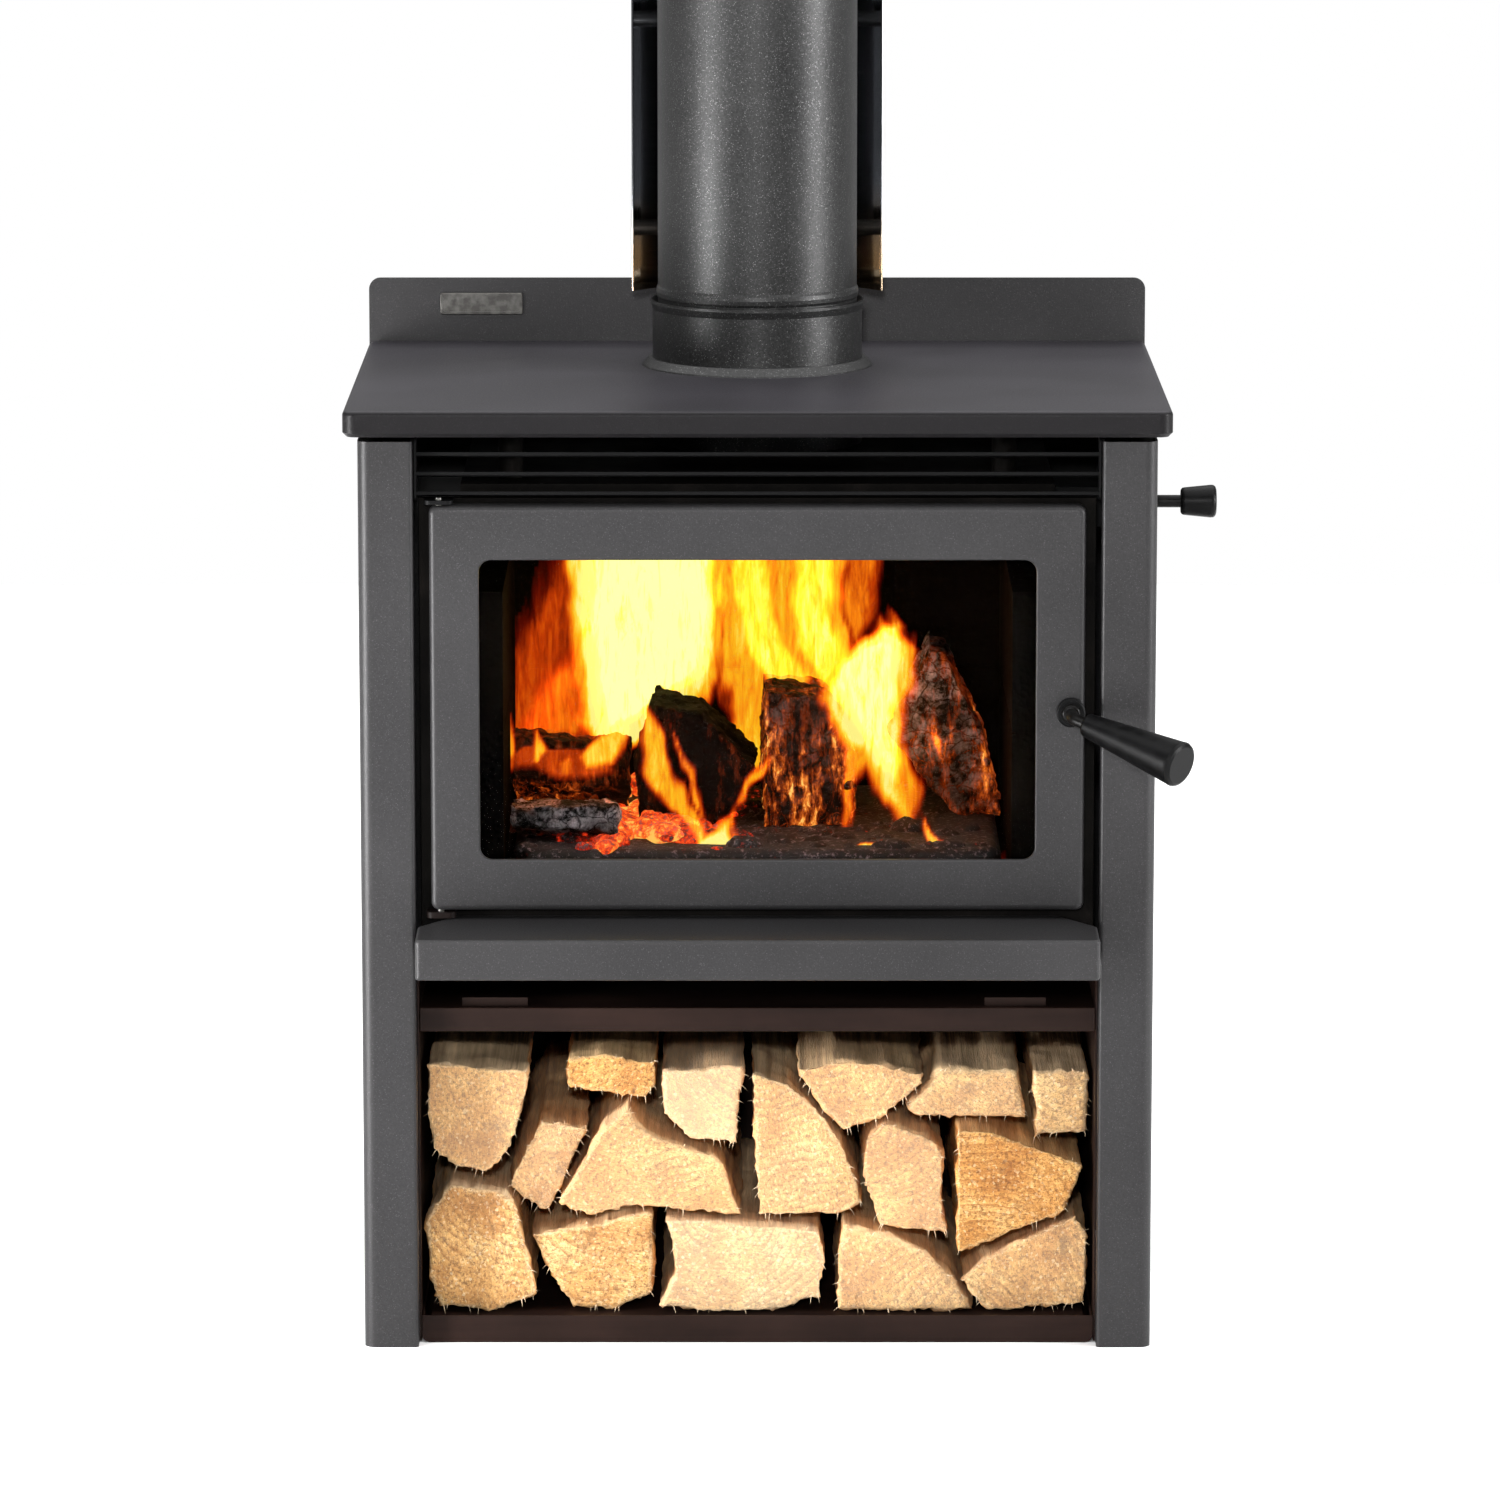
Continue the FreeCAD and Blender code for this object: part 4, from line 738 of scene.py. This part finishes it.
def firewood():
    """Sixteen split logs with their fibres, which stand for the plain logs of the CAD nodes."""
    number = 0
    for index in range(1, FIREWOOD_NODES + 1):
        node = f"firewood_{index}"
        for mesh in loose_parts(node):
            number += 1
            fine = remeshed(mesh, WOOD_VOXEL)
            shape_log(fine, 100 + number)
            fibres = splinters(fine, 300 + number, FIBRES_PER_LOG)
            for name, part in ((f"log_{number:02d}", fine), (f"log_{number:02d}_fibres", fibres)):
                piece = new_object(name, part, MATERIALS["firewood"])
                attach(piece, "root")
                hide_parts(node)


# ---------------------------------------------------------------- burning logs
CHAR_VOXEL = 0.003
CHAR_SHRINK = 0.001
CHAR_BLOCKS = 62.0  # to the metre
CRACK_DEPTH = 0.0026
# (bumps to the metre, height) of the char's relief
CHAR_LUMPS, CHAR_GRIT = (28.0, 0.004), (140.0, 0.0012)
# (patches to the metre, strength) of its glow and ash
GLOW_PATCHES, ASH_PATCHES = (24.0, 0.7), (40.0, 0.8)
# (glow, ash) of the burning logs, from left to right
CHAR_LOOKS = ((0.1, 0.9), (0.75, 0.05), (0.22, 0.0), (1.25, 0.12), (0.8, 0.65))


def shape_char(mesh, seed, glow, ash):
    """Cracks a burning log into blocks and marks where it glows and where ash lies."""
    dice = random.Random(seed)
    shift = random_shift(dice)
    low = min(v.co.z for v in mesh.vertices)
    high = max(v.co.z for v in mesh.vertices)
    normals = [v.normal.copy() for v in mesh.vertices]
    glows, ashes = [], []
    for vert, direction in zip(mesh.vertices, normals):
        co = vert.co.copy()
        near, _ = noise.voronoi((co + shift) * CHAR_BLOCKS)
        block = min(1.0, (near[1] - near[0]) * 4.0)
        push = (block - 1.0) * CRACK_DEPTH + relief(co + shift, *CHAR_LUMPS)
        push += relief(co + shift, *CHAR_GRIT)
        vert.co = co + direction * (push - CHAR_SHRINK)
        height = (co.z - low) / (high - low)
        glow_patch = 0.5 + relief(co + shift * 2, *GLOW_PATCHES)
        ash_patch = 0.5 + relief(co + shift, *ASH_PATCHES)
        glows.append(clamped(glow * (0.35 + glow_patch) * (1.15 - 0.7 * height)))
        ashes.append(clamped(ash * (0.3 + height) * ash_patch))
    store(mesh, "char_glow", "FLOAT", glows)
    store(mesh, "char_ash", "FLOAT", ashes)
    smooth(mesh)


def burning_logs():
    """Five charred logs, which stand for the plain ones of the CAD node."""
    for number, mesh in enumerate(loose_parts("burning_logs")):
        fine = remeshed(mesh, CHAR_VOXEL)
        shape_char(fine, 500 + number, *CHAR_LOOKS[number])
        piece = new_object(f"charred_log_{number + 1}", fine, MATERIALS["charred_wood"])
        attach(piece, "root")
        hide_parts("burning_logs")


# ---------------------------------------------------------------- coals
COAL_COUNT = 330
COAL_RADII = (0.005, 0.0135)
COAL_LIFTS = (0.004, 0.010)  # above the bed's underside
HOTTEST_X = -0.083
HOT_REACH = 0.06
HEAP_HEIGHT = 0.012
COOLING_HEIGHT = 0.02


def coals():
    """Lumps of coal on the hearth, heaped and hottest around one place left of the middle."""
    dice = random.Random(77)
    build = bmesh.new()
    heat = build.verts.layers.float.new("coal_heat")
    width = HEARTH_HIGH.x - HEARTH_LOW.x
    depth = HEARTH_HIGH.y - HEARTH_LOW.y
    for number in range(COAL_COUNT):
        x = HEARTH_LOW.x + width * dice.uniform(0.03, 0.97)
        y = HEARTH_LOW.y + depth * dice.uniform(0.04, 0.96)
        radius = dice.uniform(*COAL_RADII)
        z = HEARTH_LOW.z + dice.uniform(*COAL_LIFTS)
        nearness = math.exp(-((x - HOTTEST_X) / HOT_REACH) ** 2)
        z += HEAP_HEIGHT * nearness
        warm = 0.2 + 1.0 * nearness + dice.uniform(-0.2, 0.2)
        before = len(build.verts)
        bmesh.ops.create_icosphere(build, subdivisions=3, radius=radius)
        build.verts.ensure_lookup_table()
        stretch = Vector((dice.uniform(0.8, 1.3), dice.uniform(0.8, 1.3), dice.uniform(0.6, 0.9)))
        shift = Vector((number * 3.1, number * 1.7, 0))
        for vert in build.verts[before:]:
            bulge = 1 + 0.28 * noise.noise(vert.co * 130.0 + shift)
            bulge += 0.12 * noise.noise(vert.co * 420.0 + shift)
            co = Vector([vert.co[i] * stretch[i] * bulge for i in range(3)]) + Vector((x, y, z))
            co.z = max(co.z, HEARTH_LOW.z)
            vert.co = co
            vert[heat] = warm - 0.25 * (co.z - HEARTH_LOW.z) / COOLING_HEIGHT
    mesh = mesh_from(build, "coals")
    smooth(mesh)
    piece = new_object("coals", mesh, MATERIALS["embers"])
    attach(piece, "root")


# ---------------------------------------------------------------- flames
# Each sheet is (depth, flames), each flame (heat, edge softness, stations), each station up the flame
# (height, middle x, half width), all in millimetres. Heat 0.3 is dull red, 0.6 orange, 1 yellow and more.
FLAMES = {
    "flame_rear": (84, (
        (1.05, 16, ((392, -112, 4), (425, -90, 52), (460, -84, 60), (610, -84, 66))),
        (0.36, 34, ((380, -172, 46), (430, -174, 54), (480, -160, 46), (540, -146, 28), (600, -140, 14))),
        (0.66, 10, ((385, 14, 40), (480, 18, 54), (610, 17, 52))),
        (0.46, 14, ((468, 74, 6), (500, 75, 19), (610, 76, 26))),
    )),
    "flame_middle": (30, (
        (1.10, 22, ((415, -118, 4), (450, -97, 40), (475, -84, 56), (520, -80, 62), (610, -78, 64))),
        (0.80, 12, ((440, 26, 0), (465, 22, 22), (490, 6, 25), (525, -6, 22), (610, -11, 20))),
        (0.85, 12, ((448, 54, 0), (480, 49, 22), (520, 45, 21), (610, 42, 23))),
        (0.45, 20, ((410, -150, 10), (425, -150, 40), (450, -145, 34), (490, -140, 10), (520, -140, 0))),
        (0.95, 14, (
            (372, 111, 0), (405, 103, 15), (435, 88, 24), (465, 80, 32), (487, 85, 30),
            (508, 101, 12), (526, 96, 0),
        )),
    )),
    "flame_front": (-44, (
        (1.00, 17, (
            (340, 111, 3), (375, 109, 12), (405, 101, 20), (435, 87, 29), (465, 79, 38), (487, 84, 37),
            (505, 100, 22), (515, 97, 13), (535, 93, 0),
        )),
        (0.60, 7, ((355, 72, 3), (385, 73, 8), (415, 78, 12), (440, 84, 12))),
        (0.78, 6, ((414, -184, 4), (426, -185, 8), (442, -184, 5), (458, -180, 0))),
        (0.80, 6, ((412, -164, 6), (426, -160, 8), (442, -164, 3), (454, -166, 0))),
        (0.50, 6, ((410, -142, 8), (420, -142, 8), (434, -138, 0))),
        (0.80, 9, ((412, -120, 16), (424, -117, 20), (438, -106, 12), (452, -97, 0))),
        (0.34, 9, ((405, -150, 44), (415, -150, 46), (425, -146, 30), (432, -140, 0))),
    )),
    "flame_low": (-112, (
        (0.72, 9, (
            (352, -34, 4), (370, -40, 10), (395, -60, 14), (420, -72, 17), (445, -79, 15), (486, -96, 0),
        )),
        (0.60, 6, ((372, -36, 3), (395, -44, 7), (425, -48, 7), (448, -58, 5), (466, -72, 0))),
        (1.10, 10, ((338, -30, 34), (360, -28, 26), (376, -23, 10), (398, -20, 0))),
        (0.62, 5, ((384, -20, 2), (402, -12, 5), (416, -2, 6), (430, 7, 5), (440, 8, 0))),
        (0.66, 4, ((424, 134, 1), (444, 131, 6), (462, 125, 0))),
        (0.78, 6, ((340, 147, 8), (370, 133, 8), (394, 115, 0))),
        (0.90, 8, ((338, 80, 42), (357, 80, 34), (370, 86, 0))),
        (0.60, 5, ((340, 185, 7), (372, 184, 6), (400, 181, 0))),
    )),
}
SHEET_STEP = 0.0025
SHEET_MARGIN = 0.004  # how far a sheet may reach past the ember bed's sides
SHEET_FOOT = 0.002  # its lowest place above the bed's underside
SHEET_HEADROOM = 0.01  # its highest place below the glass's top
SHEET_WAVE = 0.012  # how far it waves to the front and back
LEAST_HEAT = 0.1  # where a sheet is cut off
FOOT_OVERLAP = 3.0  # mm; how far below its first station a flame would fade out
# (waves to the metre, reach in millimetres) of the flames' ragged outlines
FLAME_SWAYS = ((16.0, 7.0), (45.0, 7.0), (120.0, 4.0))
FLAME_LIFT = (30.0, 9.0)


def flame_heat(x, z, flames):
    """Heat of a point of a flame sheet: the hottest of the flames that cover it, all in millimetres."""
    hottest = 0.0
    for heat, softness, stations in flames:
        above = z - stations[0][0] + FOOT_OVERLAP
        for (z0, x0, half0), (z1, x1, half1) in zip(stations, stations[1:]):
            if z0 <= z < z1:
                part = (z - z0) / (z1 - z0)
                inside = half0 + (half1 - half0) * part - abs(x - x0 - (x1 - x0) * part)
                hottest = max(hottest, heat * min(1.0, inside / softness, above / softness))
    return hottest


def heat_at(x, z, shift, flames):
    """Heat at a place of a sheet in metres, moved about a little so that the outlines are ragged."""
    spot = Vector((x, 0, z * 0.45)) + shift
    sway = 0.0
    for scale, reach in FLAME_SWAYS:
        sway += noise.noise(spot * scale) * reach
    scale, reach = FLAME_LIFT
    lift = noise.noise(spot * scale + Vector((9, 9, 9))) * reach
    return flame_heat(x * 1000 + sway, z * 1000 + lift, flames)


def flame_sheet(name, depth, flames, material, seed):
    """Wavy upright sheet cut to the flames' outline, with their heat in its vertices."""
    shift = Vector((seed * 5.3, 0, seed * 2.9))
    x0, x1 = HEARTH_LOW.x - SHEET_MARGIN, HEARTH_HIGH.x + SHEET_MARGIN
    z0, z1 = HEARTH_LOW.z + SHEET_FOOT, WINDOW_HIGH.z - SHEET_HEADROOM
    columns = int((x1 - x0) / SHEET_STEP)
    rows = int((z1 - z0) / SHEET_STEP)
    build = bmesh.new()
    layer = build.verts.layers.float.new("flame_heat")
    grid = []
    for j in range(rows + 1):
        line = []
        for i in range(columns + 1):
            x, z = x0 + i * SHEET_STEP, z0 + j * SHEET_STEP
            y = depth / 1000 + SHEET_WAVE * noise.noise(Vector((x * 14.0, seed, z * 9.0)))
            vert = build.verts.new((x, y, z))
            vert[layer] = heat_at(x, z, shift, flames)
            line.append(vert)
        grid.append(line)
    for j in range(rows):
        for i in range(columns):
            corners = (grid[j][i], grid[j][i + 1], grid[j + 1][i + 1], grid[j + 1][i])
            if max(corner[layer] for corner in corners) > LEAST_HEAT:
                build.faces.new(corners)
    bmesh.ops.delete(build, geom=[v for v in build.verts if not v.link_faces], context="VERTS")
    mesh = mesh_from(build, name)
    smooth(mesh)
    piece = new_object(name, mesh, material)
    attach(piece, "root")


def flames():
    material = flame_material()
    for seed, (name, (depth, shapes)) in enumerate(FLAMES.items(), start=1):
        flame_sheet(name, depth, shapes, material, seed)


# ---------------------------------------------------------------- floor, lights and camera
FLOOR_SIZE = (14.0, 13.6, 1.0)
FLOOR_MIDDLE_Y = -3.3


def floor():
    """Pale floor that ends where it meets the white surroundings."""
    bpy.ops.mesh.primitive_plane_add(size=1.0, location=(0, FLOOR_MIDDLE_Y, 0))
    plane = bpy.context.object
    plane.name = "floor"
    plane.scale = FLOOR_SIZE
    plane.data.materials.append(floor_material())


def light_holder(name, light, place):
    """Puts a light into the scene."""
    holder = bpy.data.objects.new(name, light)
    bpy.context.scene.collection.objects.link(holder)
    holder.location = place
    return holder


def area_light(name, place, target, width, height, power):
    """White rectangle that shines at its target."""
    light = bpy.data.lights.new(name, "AREA")
    light.shape = "RECTANGLE"
    light.size = width
    light.size_y = height
    light.energy = power
    holder = light_holder(name, light, place)
    holder.rotation_euler = (Vector(target) - Vector(place)).to_track_quat("-Z", "Y").to_euler()


def point_light(name, place, power, color, radius):
    """Glow of the fire, which lights the firebox but isn't seen itself."""
    light = bpy.data.lights.new(name, "POINT")
    light.energy = power
    light.color = color
    light.shadow_soft_size = radius
    holder = light_holder(name, light, place)
    holder.visible_camera = False
    holder.visible_transmission = False
    holder.visible_glossy = False


def around(angle, distance, height):
    """A place on a circle about the stove: 0 degrees in front of it, positive to its right."""
    turn = math.radians(angle)
    return (distance * math.sin(turn), -distance * math.cos(turn), height)


def lights():
    """Soft boxes at both sides, a wide light overhead, a small one in front, and the fire's own glow."""
    area_light("softbox_left", around(-60, 1.6, 0.28), (0, 0, 0.36), 0.3, 0.7, 56)
    area_light("pipe_left", around(-42, 3.0, 1.5), (0, 0, 0.9), 0.6, 1.2, 14)
    area_light("softbox_right", around(72, 3.0, 1.2), (0, 0, 0.8), 0.5, 1.6, 130)
    area_light("overhead", (0, 0.3, 3.6), (0, 0.3, 0), 6.0, 6.0, 400)
    area_light("front_sun", (-0.1, -5.2, 1.75), (0, 0, 0.15), 0.25, 0.25, 130)
    point_light("fire_left", (-0.11, -0.06, 0.47), 0.8, (1.0, 0.24, 0.04), 0.03)
    point_light("fire_right", (0.09, -0.08, 0.46), 0.8, (1.0, 0.26, 0.05), 0.03)


ROOM_STRENGTH = 0.42
ROOM_FRONT, ROOM_BACK = 0.25, 1.0  # how bright the room is in front of the stove and behind it
DIM_UNTIL, BRIGHT_FROM = -0.9, 0.6  # the direction's Y part where the room is darkest and brightest


def world():
    """White where the camera sees it; for the stove, a room that is bright behind it and dim in front."""
    surroundings = bpy.data.worlds.new("studio")
    surroundings.use_nodes = True
    tree = surroundings.node_tree
    tree.nodes.clear()
    add = tree.nodes.new
    link = tree.links.new
    output = add("ShaderNodeOutputWorld")
    seen = add("ShaderNodeBackground")
    seen.inputs["Color"].default_value = (1, 1, 1, 1)
    lit = add("ShaderNodeBackground")
    lit.inputs["Strength"].default_value = ROOM_STRENGTH
    direction = add("ShaderNodeTexCoord")
    parts = add("ShaderNodeSeparateXYZ")
    link(direction.outputs["Generated"], parts.inputs[0])
    back = add("ShaderNodeMapRange")
    back.inputs["From Min"].default_value = DIM_UNTIL
    back.inputs["From Max"].default_value = BRIGHT_FROM
    back.inputs["To Min"].default_value = ROOM_FRONT
    back.inputs["To Max"].default_value = ROOM_BACK
    link(parts.outputs["Y"], back.inputs["Value"])
    link(back.outputs["Result"], lit.inputs["Color"])
    path = add("ShaderNodeLightPath")
    choose = add("ShaderNodeMixShader")
    link(path.outputs["Is Camera Ray"], choose.inputs["Fac"])
    link(lit.outputs[0], choose.inputs[1])
    link(seen.outputs[0], choose.inputs[2])
    link(choose.outputs[0], output.inputs["Surface"])
    bpy.context.scene.world = surroundings


CAMERA_PLACE = (-0.0055, -5.738, 1.4314)
CAMERA_PITCH = 10.026  # degrees below level
CAMERA_LENS = 186.2
CAMERA_SENSOR = 36.0
CAMERA_REACH = 100.0


def camera():
    """Long lens in front of the stove, a little above it and looking slightly down."""
    data = bpy.data.cameras.new("camera")
    data.sensor_width = CAMERA_SENSOR
    data.lens = CAMERA_LENS
    data.clip_end = CAMERA_REACH
    holder = bpy.data.objects.new("camera", data)
    bpy.context.scene.collection.objects.link(holder)
    holder.location = CAMERA_PLACE
    holder.rotation_euler = (math.radians(90 - CAMERA_PITCH), 0, 0)
    bpy.context.scene.camera = holder


paint_frame()
firewood()
burning_logs()
coals()
flames()
floor()
lights()
world()
camera()
bpy.context.scene.view_settings.view_transform = "Standard"
